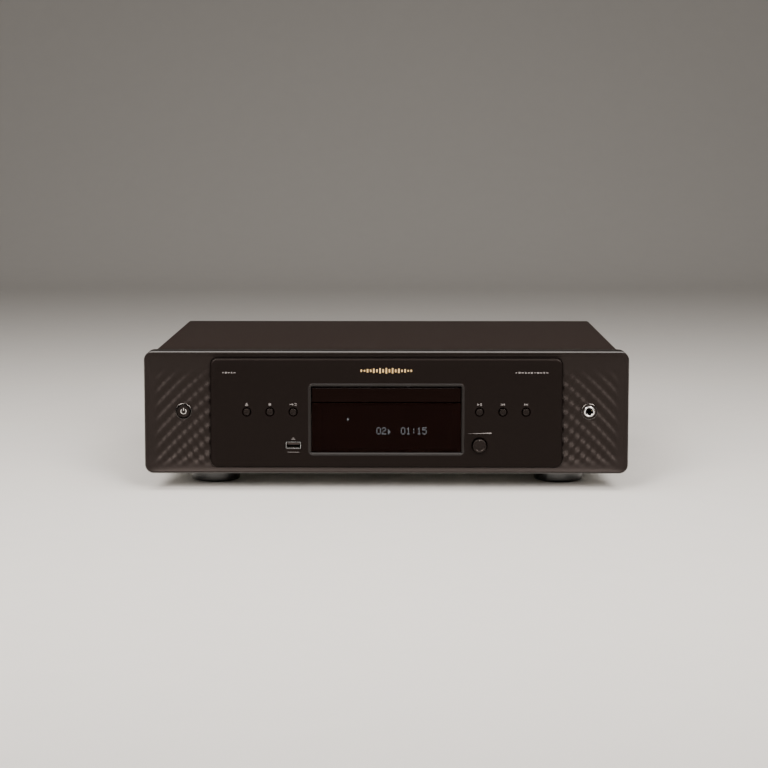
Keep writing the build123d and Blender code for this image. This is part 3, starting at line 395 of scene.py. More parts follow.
RIM = 1.7 * MM                  # width of the flat rim round the dish
RIM_CHAMFER = 0.8 * MM
RIM_CORNER = 6.5 * MM           # inner corner radius of the rim
BEZEL_CORNER = 8.0 * MM
BEZEL_WALL = 2.5 * MM
COVE_DEPTH = 1.15 * MM          # the cove beside the rim
COVE_POWERS = (44, 18)          # across and up: the higher, the closer it keeps to the rim
HOLLOW_DEPTH = 2.2 * MM         # the slow hollow over the whole front
HOLLOW_POWERS = (8, 2)
CREASE = 0.22 * MM              # each of the two small steps that follow the rim
CREASE_INSETS = (0.6, 2.2)      # mm in from the rim
BUMP_PITCH = 12.7               # mm, between the texture's bumps in a column
BUMP_HEIGHT = 0.66              # mm, from the dish to a bump's top
BUMP_FALL = 0.84                # slope of the lines that climb towards the plate
BUMP_RISE = 1.43                # slope of the lines that cross them
BUMP_START = (3.5, 82.0)        # mm out from the plate and above the floor, where a bump is centred
BUMP_END_FADE = (6.5, 15)       # mm in from the ends of the front: no bumps, and full bumps
BUMP_TOP_FADE = (116, 99)       # mm above the floor: no bumps, and full bumps
BUMP_FOOT_FADE = (21, 31)
CROSSING_LEAST = 0.15           # strength of the crossing lines far out and high up
CROSSING_GROWTH = 0.70          # what they gain by the plate and low down
PLATE_GAP = 0.5 * MM


def ease(low, high, value):
    """0 at low, 1 at high and a smooth step between them."""
    t = np.clip((value - low) / (high - low), 0, 1)
    return t * t * (3 - 2 * t)


def bump_relief(x, z):
    """Height, in mm, of the bumps: two families of lines that cross, mirrored left and right. The lines
    that climb towards the plate are the stronger, and the others join in low down and near the plate."""
    start_out, start_z = BUMP_START
    out = np.abs(x) / MM - PLATE_HALF_WIDTH / MM
    down = (start_z * MM - z) / MM

    def spread(u):
        return u + 0.003 * u * u

    run = spread(out) - spread(start_out)
    falling = np.cos(2 * pi * (down - BUMP_FALL * run) / BUMP_PITCH)
    rising = np.cos(2 * pi * (down + BUMP_RISE * run) / BUMP_PITCH)
    edge = HALF_WIDTH / MM - np.abs(x) / MM
    height = z / MM
    shown = ease(*BUMP_END_FADE, edge) * ease(*BUMP_TOP_FADE, height) * ease(*BUMP_FOOT_FADE, height)
    reach, lean, level = 52, 0.35, 40
    crossing = CROSSING_LEAST + CROSSING_GROWTH * ease(reach, 0, out + lean * (height - level))
    return BUMP_HEIGHT * shown * (falling + crossing * rising) / 2


def dish_y(x, z):
    """Where the dished front lies: a cove by the rim, a slow hollow inside it, and two small steps along
    the rim that fade out towards its lower edge."""
    inner_x, inner_z = HALF_WIDTH - RIM, HALF_HEIGHT - RIM
    u, v = np.abs(x) / inner_x, np.abs(z - PANEL_Z) / inner_z

    def bowl(depth, powers):
        return depth * (1 - np.minimum(u, 1) ** powers[0]) * (1 - np.minimum(v, 1) ** powers[1])

    cove, hollow = bowl(COVE_DEPTH, COVE_POWERS), bowl(HOLLOW_DEPTH, HOLLOW_POWERS)
    past_x = np.abs(x) - inner_x + RIM_CORNER
    past_z = np.abs(z - PANEL_Z) - inner_z + RIM_CORNER
    beyond = np.hypot(np.maximum(past_x, 0), np.maximum(past_z, 0))
    beyond += np.minimum(np.maximum(past_x, past_z), 0)
    inset = (RIM_CORNER - beyond) / MM
    steps = sum(ease(at, at + 0.7, inset) for at in CREASE_INSETS)
    shown = ease(22 * MM, 34 * MM, z)
    return RIM_Y + cove + hollow + CREASE * steps * shown - bump_relief(x, z) * MM


def build_bezel():
    steps = dict(along_x=130, along_z=150, corner=10)

    def flat_loop(half_x, half_z, radius, y, shift=0.0):
        return [(x, y, z + PANEL_Z + shift) for x, z in rounded_loop(half_x, half_z, radius, **steps)]

    def inset_loop(inset, radius, y):
        return flat_loop(HALF_WIDTH - inset, HALF_HEIGHT - inset, radius, y)

    def window_loop(y):
        return flat_loop(WINDOW_HALF_WIDTH + 0.5 * MM, WINDOW_HALF_HEIGHT - 0.5 * MM, 1.5 * MM, y,
                         WINDOW_Z - PANEL_Z)

    pocket = flat_loop(PLATE_HALF_WIDTH + PLATE_GAP, PLATE_HALF_HEIGHT + PLATE_GAP, 6.4 * MM, PLATE_BACK_Y)
    dish_in = np.array(pocket)
    dish_out = np.array(inset_loop(RIM, RIM_CORNER, RIM_Y))
    across = 112
    loops = [window_loop(PLATE_BACK_Y), pocket]
    for i in range(across + 1):
        t = i / across
        t = 1 - (1 - t) * (1 - 0.35 * t * t) if t < 1 else 1.0
        loop = dish_in + (dish_out - dish_in) * t
        loop[:, 1] = dish_y(loop[:, 0], loop[:, 2])
        loops.append([tuple(p) for p in loop])
    floor_y = PLATE_BACK_Y + FLOOR_THICKNESS
    near, edge_step = 0.1 * MM, 0.12 * MM
    loops += [
        inset_loop(RIM_CHAMFER + near, 7.0 * MM, RIM_Y),
        inset_loop(RIM_CHAMFER - near, 7.1 * MM, RIM_Y + edge_step),
        inset_loop(near, 7.9 * MM, RIM_Y + RIM_CHAMFER - edge_step),
        inset_loop(0, BEZEL_CORNER, RIM_Y + RIM_CHAMFER + near),
        inset_loop(0, BEZEL_CORNER, BEZEL_BACK_Y - 0.4 * MM),
        inset_loop(0.4 * MM, 7.6 * MM, BEZEL_BACK_Y),
        inset_loop(BEZEL_WALL, 5.5 * MM, BEZEL_BACK_Y),
        inset_loop(BEZEL_WALL, 5.5 * MM, floor_y),
        window_loop(floor_y),
    ]
    bezel = loops_object("bezel_panel", loops, closed=True)
    holes = []

    def hole(x, z, radius):
        at = Vector((x, PLATE_BACK_Y, z))
        holes.append(lathe("hole", [(radius, -12), (radius, 6)], at, segments=40))

    for key in KEYS:
        hole(centre(key).x, KEY_Z, 4.8)
    hole(KNOB.x, KNOB.z, 7.2)
    hole(POWER.x, POWER.z, 6.1)
    hole(PHONES.x, PHONES.z, 5.1)
    usb_hole = rectangle(USB.x, USB.z, 17 * MM, 9 * MM)
    holes.append(prism("hole", usb_hole, PLATE_BACK_Y - 3 * MM, floor_y + 3 * MM))
    cut(bezel, holes)
    smooth(bezel, 40)
    piece(bezel, "case", "textured_plastic", replaces=["front_bezel"])

    proud, sheet = 0.02 * MM, 0.3 * MM
    edge = loops_object("bezel_edge", [
        inset_loop(RIM_CHAMFER, 7.0 * MM, RIM_Y - proud),
        inset_loop(-proud, BEZEL_CORNER, RIM_Y + RIM_CHAMFER),
        inset_loop(sheet, 7.7 * MM, RIM_Y + RIM_CHAMFER),
        inset_loop(RIM_CHAMFER, 7.0 * MM, RIM_Y + sheet)], closed=True)
    smooth(edge)
    piece(edge, "case", "textured_plastic", "edge_sheen")


# ------------------------------------------------------------------ centre plate

def build_plate():
    steps = dict(along_x=64, along_z=24, corner=12)

    def loop(half_x, half_z, radius, y, z=PANEL_Z):
        return [(px, y, pz + z) for px, pz in rounded_loop(half_x, half_z, radius, **steps)]

    def window_loop(inset, radius, y):
        return loop(WINDOW_HALF_WIDTH - inset, WINDOW_HALF_HEIGHT - inset, radius, y, WINDOW_Z)

    corner, bevel_width, bevel_depth = 6 * MM, 2.6 * MM, 1.0 * MM
    loops = [loop(PLATE_HALF_WIDTH, PLATE_HALF_HEIGHT, corner, PLATE_BACK_Y)]
    arc = 8
    for k in range(arc + 1):
        a = pi / 2 * k / arc
        inset = bevel_width * (1 - cos(a))
        y = PLATE_Y + bevel_depth * (1 - sin(a))
        loops.append(loop(PLATE_HALF_WIDTH - inset, PLATE_HALF_HEIGHT - inset, corner - inset * 0.8, y))
    mouth = ((-0.9, 0.0, 3.3), (-0.1, -0.50, 2.5), (0.25, -0.56, 2.2), (0.6, -0.42, 1.8),
             (WINDOW_CHAMFER / MM, 0.60, 0.8))
    for inset, depth, radius in mouth:
        loops.append(window_loop(inset * MM, radius * MM, PLATE_Y + depth * MM))
    loops.append(window_loop(WINDOW_CHAMFER, 0.8 * MM, PLATE_BACK_Y))
    plate = loops_object("centre_plate", loops, closed=True)
    holes = []
    deep = (PLATE_BACK_Y - PLATE_Y) / MM + 1
    for key in KEYS:
        holes.append(lathe("hole", [(5.5, -1.15), (4.35, 0), (3.35, 1.0), (3.35, deep)],
                           Vector((centre(key).x, PLATE_Y, KEY_Z)), segments=48))
    holes.append(lathe("hole", [(7.9, -0.5), (7.4, 0), (6.8, 0.6), (6.8, deep)],
                       Vector((KNOB.x, PLATE_Y, KNOB.z)), segments=64))

    def port_loop(grow, y):
        return [(x + USB.x, y, z + USB.z)
                for x, z in rounded_loop(7.1 * MM + grow, 3.4 * MM + grow, 0.8 * MM + grow, 4, 4, 6)]

    holes.append(loops_object("hole", [
        port_loop(1.1 * MM, PLATE_Y - 0.5 * MM), port_loop(0.6 * MM, PLATE_Y),
        port_loop(0, PLATE_Y + 0.6 * MM), port_loop(0, PLATE_BACK_Y + 1 * MM)]))
    cut(plate, holes)
    smooth(plate, 28)
    piece(plate, "case", "anodised_aluminium", replaces=["front_plate"])
    frame_profile = ((-0.92, 0.0), (-0.1, -0.53), (0.25, -0.59), (0.6, -0.45), (1.82, 0.58), (1.82, 1.2),
                     (-0.9, 1.2))
    frame_edge = loops_object("window_frame", [
        window_loop(inset * MM, (2.6 - inset) * MM, PLATE_Y + depth * MM)
        for inset, depth in frame_profile], closed=True)
    smooth(frame_edge)
    piece(frame_edge, "case", "anodised_aluminium", "frame_sheen")


def build_printing():
    """Printed marks on the plate: symbols over the keys, the level wedge, and plain marks in place of any
    lettering."""
    shapes = []
    ink = 0.05 * MM

    def mark(points, x, z):
        outline = [(x + px * MM, z + pz * MM) for px, pz in points]
        shapes.append(prism("mark", outline, PLATE_Y - ink, PLATE_Y))

    def bar(x, z, width, height):
        mark(rectangle(0, 0, width, height), x, z)

    def triangle(x, z, width, height, side=1):
        tip = side * width / 2
        mark([(-tip, -height / 2), (tip, 0), (-tip, height / 2)][::side], x, z)

    row = KEY_Z + 6.9 * MM
    x = centre("open_close_button").x
    mark([(-1.4, -0.3), (1.4, -0.3), (0, 1.3)], x, row)
    bar(x, row - 1.0 * MM, 2.8, 0.6)
    bar(centre("stop_button").x, row, 2.0, 2.0)
    x = centre("input_button").x
    bar(x - 2.0 * MM, row, 2.6, 0.5)
    triangle(x - 0.2 * MM, row, 1.5, 2.0)
    mark([(1.2, -1.2), (3.0, -1.2), (3.0, 1.2), (1.2, 1.2), (1.2, 0.8), (2.5, 0.8), (2.5, -0.8),
          (1.2, -0.8)], x, row)
    x = centre("play_pause_button").x
    triangle(x - 1.1 * MM, row, 1.9, 2.2)
    bar(x + 0.7 * MM, row, 0.55, 2.2)
    bar(x + 1.8 * MM, row, 0.55, 2.2)
    for key, side in (("skip_back_button", -1), ("skip_forward_button", 1)):
        x = centre(key).x
        triangle(x - side * 1.2 * MM, row, 1.5, 2.0, side)
        triangle(x + side * 0.35 * MM, row, 1.5, 2.0, side)
        bar(x + side * 1.4 * MM, row, 0.5, 2.0)
    # rising wedge over the level knob
    mark([(-11, -0.25), (11, -0.25), (11, 0.75)], KNOB.x, KNOB.z + 11.0 * MM)
    # socket symbol over the USB opening
    bar(USB.x, USB.z + 5.5 * MM, 3.6, 0.45)
    bar(USB.x, USB.z + 6.5 * MM, 1.8, 0.45)
    bar(USB.x, USB.z - 6.4 * MM, 10.5, 0.35)
    # plain hairlines where the real front carries small lettering
    top = PANEL_Z + 36.8 * MM
    for low, high, step in ((-150, -134.5, 2.6), (117, 150.6, 2.8)):
        for k in range(int((high - low) / step)):
            wide = step * (0.72 if k % 3 else 0.5)
            tall = 0.9 + 0.5 * (k % 2)
            bar((low + (k + 0.5) * step) * MM, top, wide, tall)
    marks = joined("printed_marks", shapes)
    outward(marks)
    piece(marks, "case", "anodised_aluminium", "print_grey")


def build_gold_mark():
    """A plain row of upright gold bars over the window, tallest in the middle."""
    count, span, tallest = 17, 47.0, 5.2
    bars = []
    for k in range(count):
        u = abs(k - (count - 1) / 2) / ((count - 1) / 2)
        height = tallest * (1 - 0.62 * u ** 1.5) * (1.0 if k % 2 == 0 else 0.62)
        x = (k / (count - 1) - 0.5) * (span - 1.5)
        outline = rounded_loop(0.72 * MM, height / 2 * MM, 0.35 * MM, 1, 1, 3)
        outline = [(px + x * MM, pz + PANEL_Z + 38.6 * MM) for px, pz in outline]
        bars.append(prism("bar", outline, PLATE_Y - 0.22 * MM, PLATE_Y))
    mark = joined("gold_bars", bars)
    bevelled(mark, 0.08 * MM)
    smooth(mark)
    piece(mark, "case", "anodised_aluminium", "gold_mark")


# ------------------------------------------------------------------ window, display and tray door

DOTS = {
    "0": ("01110", "10001", "10001", "10001", "10001", "10001", "01110"),
    "1": ("00100", "01100", "00100", "00100", "00100", "00100", "01110"),
    "2": ("01110", "10001", "00001", "00110", "01000", "10000", "11111"),
    "5": ("11111", "10000", "11110", "00001", "00001", "10001", "01110"),
    ":": ("00000", "00100", "00100", "00000", "00100", "00100", "00000"),
    ">": ("00000", "00000", "10000", "11000", "11100", "11000", "10000"),
}


def stepped(name, steps, x, z):
    """A block made of rounded rectangles in X and Z, each (half width, half height, corner, y) in mm."""
    return loops_object(name, [
        [(px + x, y * MM, pz + z) for px, pz in rounded_loop(w * MM, h * MM, r * MM, 6, 4, 4)]
        for w, h, r, y in steps])


def build_window():
    low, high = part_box("display_lens")
    flange = 1.0 * MM
    half_x = high.x / MM - 1.7
    half_z = (high.z - low.z - flange) / 2 / MM
    front, back = low.y / MM, high.y / MM
    z = (low.z + flange + high.z) / 2
    seat = PLATE_BACK_Y / MM
    lens = stepped("display_lens_glass", [
        (half_x - 0.45, half_z - 0.45, 0.3, front), (half_x - 0.15, half_z - 0.15, 0.5, front + 0.08),
        (half_x, half_z, 0.6, front + 0.4), (half_x, half_z, 0.6, seat), (half_x + 1.4, half_z, 0.6, seat),
        (half_x + 1.4, half_z, 0.6, back)], 0, z)
    smooth(lens)
    piece(lens, "case", "smoked_window", replaces=["display_lens"])

    low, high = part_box("display_panel")
    middle = (low + high) / 2
    front, back = low.y / MM, high.y / MM
    half_x, half_z = (high.x - low.x) / 2 / MM, (high.z - low.z) / 2 / MM
    panel = stepped("display_module", [
        (half_x - 3.2, half_z - 3.2, 0.8, front + 0.5), (half_x - 3.0, half_z - 3.0, 1.0, front + 0.02),
        (half_x - 0.3, half_z - 0.3, 1.0, front + 0.02), (half_x, half_z, 1.2, front + 0.3),
        (half_x, half_z, 1.2, back - 0.3), (half_x - 0.3, half_z - 0.3, 1.0, back)], middle.x, middle.z)
    smooth(panel)
    piece(panel, "case", "gloss_black", replaces=["display_panel"])

    face_y = low.y + 0.5 * MM
    pitch_x, pitch_z, advance, thickness = 0.80 * MM, 0.94 * MM, 4.9 * MM, 0.08 * MM
    dot = rounded_loop(0.30 * MM, 0.37 * MM, 0.08 * MM, 1, 1, 2)
    shapes = []

    def write(text, x, z):
        for place, sign in enumerate(text):
            lit = [(row, column) for row, bits in enumerate(DOTS[sign])
                   for column, bit in enumerate(bits) if bit == "1"]
            for row, column in lit:
                px = x + place * advance + (column - 2) * pitch_x
                pz = z + (3 - row) * pitch_z
                outline = [(a + px, b + pz) for a, b in dot]
                shapes.append(prism("dot", outline, face_y - thickness, face_y))

    digits_z = PANEL_Z - 17.6 * MM
    write("02", -7.1 * MM, digits_z)
    write(">", 3.4 * MM, digits_z)
    write("01:15", 15.3 * MM, digits_z)
    play = [(x * MM, PANEL_Z + z * MM) for x, z in ((-35.9, -8.2), (-33.9, -7.0), (-35.9, -5.8))]
    shapes.append(prism("dot", play, face_y - thickness, face_y))
    digits = joined("display_digits", shapes)
    outward(digits)
    piece(digits, "case", "gloss_black", "display_glow")


def build_door():
    low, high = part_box("tray_door")
    half_x, half_z = high.x / MM, (high.z - low.z) / 2 / MM
    front, back = low.y / MM, high.y / MM
    door = stepped("tray_door_cap", [
        (half_x - 0.55, half_z - 0.55, 0.3, front), (half_x - 0.2, half_z - 0.2, 0.5, front + 0.12),
        (half_x, half_z, 0.6, front + 0.55), (half_x, half_z, 0.6, back)], 0, (low.z + high.z) / 2)
    smooth(door)
    piece(door, "tray", "gloss_black", replaces=["tray_door"])
    top = high.z / MM
    outline = [(y * MM, z * MM) for y, z in ((front - 0.03, top - 0.70), (front + 0.28, top - 0.1),
                                             (front + 0.7, top + 0.02), (front + 0.7, top - 0.70))]
    lip = prism("tray_door_lip", outline, -high.x + 0.5 * MM, high.x - 0.5 * MM, "X")
    smooth(lip, 10)
    piece(lip, "tray", "gloss_black", "edge_sheen")


# ------------------------------------------------------------------ keys, knob and front sockets

def build_key(node):
    low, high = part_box(node)
    middle = (low + high) / 2
    length = (high.y - low.y) / MM
    collar = (PLATE_BACK_Y - low.y) / MM + 0.1
    cap = lathe(node + "_cap", [
        (0, 0.22), (1.1, 0.20), (2.0, 0.12), (2.5, 0.02), (2.75, 0.0), (2.98, 0.10), (3.1, 0.38),
        (3.1, collar), (4.5, collar), (4.5, collar + 1.4), (1.5, collar + 1.4), (1.5, length), (0, length),
    ], Vector((middle.x, low.y, middle.z)))
    smooth(cap, 40)
    piece(cap, node, "black_plastic", "key_black", replaces=[node])


def build_power_button():
    low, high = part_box("power_button")
    at = Vector((POWER.x, low.y, POWER.z))
    length = (high.y - low.y) / MM
    collar = (PLATE_BACK_Y - low.y) / MM + 3.2
    cap = lathe("power_button_cap", [
        (0, 0.30), (3.6, 0.30), (4.5, 0.12), (5.1, 0.0), (5.5, 0.10), (5.8, 0.55), (5.8, collar),
        (7.0, collar), (7.0, collar + 0.7), (1.5, collar + 0.7), (1.5, length), (0, length)],
        at, segments=64)
    smooth(cap, 40)
    piece(cap, "power_button", "black_plastic", "key_black", replaces=["power_button"])
    face_y, ink, outer, inner, opening = low.y + 0.30 * MM, 0.06 * MM, 2.65 * MM, 2.15 * MM, 76
    arc = [radians(90 + opening / 2 + (360 - opening) * k / 40) for k in range(41)]
    outline = [(outer * cos(a), outer * sin(a)) for a in arc]
    outline += [(inner * cos(a), inner * sin(a)) for a in arc[::-1]]
    stroke = [(x, z + 1.9 * MM) for x, z in rounded_loop(0.26 * MM, 1.35 * MM, 0.2 * MM, 1, 1, 3)]
    symbol = joined("power_symbol", [
        prism("line", [(x + POWER.x, z + POWER.z) for x, z in line], face_y - ink, face_y + ink)
        for line in (outline, stroke)])
    outward(symbol)
    piece(symbol, "power_button", "black_plastic", "print_white")


def build_trim_rings():
    """Each ring is a shallow cone that faces inwards, so its lower half catches the light from above."""
    low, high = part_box("trim_rings")
    depth = (high.y - low.y) / MM
    for name, at in (("power_trim_ring", POWER), ("phones_trim_ring", PHONES)):
        made = ring(name, [(7.4, depth), (7.4, 0.4), (7.28, 0.08), (7.05, 0.0), (6.92, 0.08), (6.2, 1.3),
                           (6.2, depth)], Vector((at.x, low.y, KEY_Z)), segments=72)
        smooth(made, 50)
        piece(made, "case", "chrome", "dark_metal", replaces=["trim_rings"])


def build_phones_socket():
    low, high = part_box("phones_socket")
    at = Vector((PHONES.x, low.y, KEY_Z))
    sleeve = ring("phones_sleeve", [
        (3.25, 10), (3.25, 0.55), (3.34, 0.22), (3.55, 0.04), (3.9, 0.0), (4.5, 0.03), (4.85, 0.2),
        (5.0, 0.6), (5.0, 4.9), (5.0, 10)], at, segments=72)
    smooth(sleeve, 50)
    piece(sleeve, "case", "chrome", replaces=["phones_socket"])
    front, back = (PLATE_BACK_Y + FLOOR_THICKNESS) / MM + 0.2, high.y / MM
    body = stepped("phones_body", [
        (7.2, 7.2, 0.6, front), (7.5, 7.5, 0.8, front + 0.3), (7.5, 7.5, 0.8, back - 0.3),
        (7.2, 7.2, 0.6, back)], PHONES.x, KEY_Z)
    cut(body, [lathe("bore", [(5.0, -6), (5.0, 10.0), (3.25, 10.0), (3.25, 28)], at)])
    smooth(body)
    piece(body, "case", "black_plastic", replaces=["phones_socket"])
    contacts = []
    for depth, angle in ((12, 0), (12, 180), (18, 90), (24, 270)):
        turn = Vector((cos(radians(angle)), 0, sin(radians(angle))))
        contacts.append(lathe("contact", [(0, -0.9), (0.5, -0.55), (0.75, 0), (0.5, 0.55), (0, 0.9)],
                              at + REAR * depth * MM + turn * 3.3 * MM, segments=16))
    springs = joined("phones_contacts", contacts)
    smooth(springs, 60)
    piece(springs, "case", "chrome", "gold")


def build_knob():
    low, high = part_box("phones_level_knob")
    length = (high.y - low.y) / MM
    back = (PLATE_BACK_Y - low.y) / MM - 0.7
    ribbed_radius, ribs, rib_depth, segments = 6.4, 36, 0.10, 216
    profile = [(0, 0.50), (3.9, 0.50), (4.3, 0.42), (4.7, 0.06), (4.95, 0.0), (5.6, 0.0), (6.05, 0.14),
               (6.3, 0.50), (ribbed_radius, 0.9), (ribbed_radius, back), (3.0, back), (3.0, length),
               (0, length)]
    loops = []
    for radius, depth in profile:
        loop = []
        for k in range(segments):
            a = 2 * pi * k / segments
            groove = rib_depth * (0.5 + 0.5 * cos(ribs * a)) if radius == ribbed_radius else 0
            r = max(radius, POINT) - groove
            loop.append((KNOB.x + r * MM * cos(a), low.y + depth * MM, KNOB.z + r * MM * sin(a)))
        loops.append(loop)
    knob = loops_object("level_knob_cap", loops)
    smooth(knob, 40)
    piece(knob, "level_knob", "anodised_aluminium", "key_black", replaces=["phones_level_knob"])
    outline = [(x + KNOB.x, z + KNOB.z + 5.3 * MM)
               for x, z in rounded_loop(0.22 * MM, 0.55 * MM, 0.15 * MM, 1, 1, 3)]
    pointer = prism("level_knob_pointer", outline, low.y - 0.03 * MM, low.y + 0.1 * MM)
    outward(pointer)
    piece(pointer, "level_knob", "anodised_aluminium", "print_grey")


def build_usb():
    low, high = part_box("usb_shell")
    half_x, half_z = (high.x - low.x) / 2, (high.z - low.z) / 2
    sheet = 0.5 * MM

    def loop(inset, y):
        radius = max(0.7 * MM - inset, 0.15 * MM)
        return [(x + USB.x, y, z + USB.z)
                for x, z in rounded_loop(half_x - inset, half_z - inset, radius, 4, 3, 5)]

    shell = loops_object("usb_metal_shell", [
        loop(0, high.y), loop(0, low.y + 0.2 * MM), loop(0.12 * MM, low.y + 0.03 * MM),
        loop(0.25 * MM, low.y), loop(0.38 * MM, low.y + 0.03 * MM), loop(sheet, low.y + 0.2 * MM),
        loop(sheet, high.y)], closed=True)
    smooth(shell, 40)
    piece(shell, "case", "steel", replaces=["usb_shell"])
    low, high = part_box("usb_tongue")
    tongue_z = USB.z + 1.1 * MM
    tongue = joined("usb_insulator", [
        stepped("tongue", [(5.3, 0.75, 0.3, low.y / MM), (5.6, 0.95, 0.3, low.y / MM + 0.4),
                           (5.6, 0.95, 0.3, high.y / MM - 2)], USB.x, tongue_z),
        stepped("back", [(6.28, 2.58, 0.1, high.y / MM - 2), (6.28, 2.58, 0.1, high.y / MM)],
                USB.x, USB.z)])
    smooth(tongue)
    piece(tongue, "case", "black_plastic", replaces=["usb_tongue"])
    strips = [prism("strip", rectangle(USB.x + x * MM, tongue_z - 0.97 * MM, 1.1 * MM, 0.1 * MM),
                    low.y + 1.2 * MM, high.y - 2.2 * MM) for x in (-3.5, -1.0, 1.0, 3.5)]
    contacts = joined("usb_contacts", strips)
    outward(contacts)
    piece(contacts, "case", "black_plastic", "gold")


# ------------------------------------------------------------------ case

SIDE_SCREW_Z = 32.0 * MM
SIDE_SCREW_ROWS = [y * MM for y in (-120.0, 10.0, 140.0)]


def build_cover():
    """One folded sheet: a top with rounded bends and two sides."""
    low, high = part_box("top_cover")
    sheet, bend = 1.2 * MM, 3.0 * MM
    outer, inner = [], []
    for side, start in ((1, 0), (-1, 90)):
        x, z = side * (high.x - bend), high.z - bend
        for k in range(9):
            a = radians(start + 90 * k / 8)
            outer.append((x + bend * cos(a), z + bend * sin(a)))
            inner.append((x + (bend - sheet) * cos(a), z + (bend - sheet) * sin(a)))
    outline = [(high.x, low.z)] + outer + [(-high.x, low.z), (-high.x + sheet, low.z)]
    outline += inner[::-1] + [(high.x - sheet, low.z)]
    cover = prism("folded_cover", outline, low.y, high.y)
    holes = []
    for y in SIDE_SCREW_ROWS:
        holes.append(lathe("hole", [(1.8, -300), (1.8, 300)], Vector((0, y, SIDE_SCREW_Z)),
                           axis=Vector((1, 0, 0)), segments=24))
    cut(cover, holes)
    bevelled(cover, 0.22 * MM, 50)
    smooth(cover, 35)
    piece(cover, "case", "painted_steel", replaces=["top_cover"])


def screw(at, axis):
    """A pan-head screw with a crossed recess. The head stands on the surface at the given point."""
    radius, shank = 3.0, 5.0
    body = lathe("screw", [
        (0, -shank), (1.0, -shank), (1.4, -shank + 0.6), (1.4, 0), (radius, 0), (radius, 0.5),
        (radius - 0.25, 1.05), (radius - 0.9, 1.42), (0.6, 1.6), (0, 1.6)], at, axis, segments=32)
    turn = axis.to_track_quat("Z", "Y").to_matrix()
    for wide, tall in ((3.2, 0.75), (0.75, 3.2)):
        top = rectangle(0, 0, wide, tall)
        taper = ((0.45, 0.5), (1, 2.2))
        loops = [[at + turn @ Vector((x * f, y * f, h)) * MM for x, y in top] for f, h in taper]
        cut(body, [loops_object("slot", loops)])
    return body


def build_screws():
    """Three screws low on each side, and seven round the rear panel."""
    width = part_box("top_cover")[1].x
    heads = []
    for side in (-1, 1):
        for y in SIDE_SCREW_ROWS:
            heads.append(screw(Vector((side * width, y, SIDE_SCREW_Z)), Vector((side, 0, 0))))
    rear_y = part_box("rear_panel")[1].y
    spots = [(x, 118) for x in (-206, -70, 70, 206)] + [(x, 26) for x in (-206, 0, 206)]
    for x, z in spots:
        heads.append(screw(Vector((x * MM, rear_y, z * MM)), REAR))
    screws = joined("case_screw_set", heads)
    smooth(screws, 40)
    piece(screws, "case", "steel", "dark_metal", replaces=["case_screws"])


def build_feet():
    """Turned feet, each with a well for its screw and a groove for its pad."""
    up = Vector((0, 0, 1))
    for end in ("front", "rear"):
        for side in ("left", "right"):
            node = f"foot_{end}_{side}"
            low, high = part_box(node)
            at = Vector(((low.x + high.x) / 2, (low.y + high.y) / 2, 0))
            foot = lathe(node + "_body", [
                (0, 10), (7, 10), (7, 1.3), (7.3, 1.0), (11, 1.0), (11, 1.5), (18, 1.5), (18, 1.0),
                (21.7, 1.0), (22.5, 1.25), (22.9, 1.8), (23, 2.6), (23, 13.2), (22.85, 13.8), (22.3, 14.2),
                (20.9, 14.6), (20.5, 15.1), (20.5, 18), (0, 18)], at, up, segments=96)
            smooth(foot, 35)
            piece(foot, "case", "gloss_black", "foot_gloss", replaces=[node])


# ------------------------------------------------------------------ rear sockets and eased CAD nodes

def build_phono_sockets():
    low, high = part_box("phono_sockets")
    rear_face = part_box("rear_panel")[1].y
    z = high.z - 6.8 * MM
    length = (high.y - rear_face) / MM
    half, block_back = 6.5, 175.8
    tall = (z - low.z) / 2 / MM + half / 2
    blocks, collars = [], []
    places = ((176.0, "insulator_red"), (152.0, "insulator_white"), (112.0, "insulator_orange"))
    for x, colour in places:
        at = Vector((x * MM, rear_face, z))
        blocks.append(stepped("block", [(half, tall, 0.8, low.y / MM), (half, tall, 0.8, block_back)],
                              at.x, (low.z + z + half * MM) / 2))
        disc = ring(f"phono_insulator_{int(x)}", [
            (6.8, 0.1), (6.8, 0.9), (6.5, 1.2), (4.2, 1.3), (4.15, 0.1)], at)
        smooth(disc, 40)
        piece(disc, "case", "gold", colour, replaces=["phono_sockets"])
        collars.append(ring("collar", [
            (4.15, 0), (4.15, length - 0.5), (4.0, length - 0.12), (3.7, length), (3.45, length - 0.1),
            (3.35, length - 0.4), (3.35, length - 7), (1.9, length - 7), (1.9, length - 1.2),
            (1.6, length - 1.2), (1.6, -2.5), (4.15, -2.5)], at))
    body = joined("phono_bodies", blocks)
    bevelled(body, 0.3 * MM)
    smooth(body)
    piece(body, "case", "gold", "black_plastic")
    gold = joined("phono_collars", collars)
    smooth(gold, 40)
    piece(gold, "case", "gold")


def eased(node, width):
    """A copy of a CAD node with its edges broken, which stands for it."""
    source = frame["nodes"][node]
    made = bpy.data.objects.new(node + "_eased", source.data.copy())
    bpy.context.scene.collection.objects.link(made)
    bm = bmesh.new()
    bm.from_mesh(made.data)
    bmesh.ops.remove_doubles(bm, verts=bm.verts, dist=1e-6)
    bmesh.ops.dissolve_limit(bm, angle_limit=radians(1.0), verts=bm.verts, edges=bm.edges)
    bm.to_mesh(made.data)
    bm.free()
    bevelled(made, width)
    smooth(made, 35)
    piece(made, source["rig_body"], slots[node], replaces=[node])


def build_eased():
    """The nodes whose shape the CAD already has, from the rear panel and the disc mechanism."""
    for node, width in (("optical_socket", 0.2), ("optical_flap", 0.08), ("remote_sockets", 0.25),
                        ("remote_switch", 0.2), ("mains_inlet", 0.35), ("disc_tray", 0.3),
                        ("clamp_puck", 0.3), ("turntable", 0.2), ("loader_chassis", 0.25),
                        ("clamp_bridge", 0.2)):
        eased(node, width * MM)


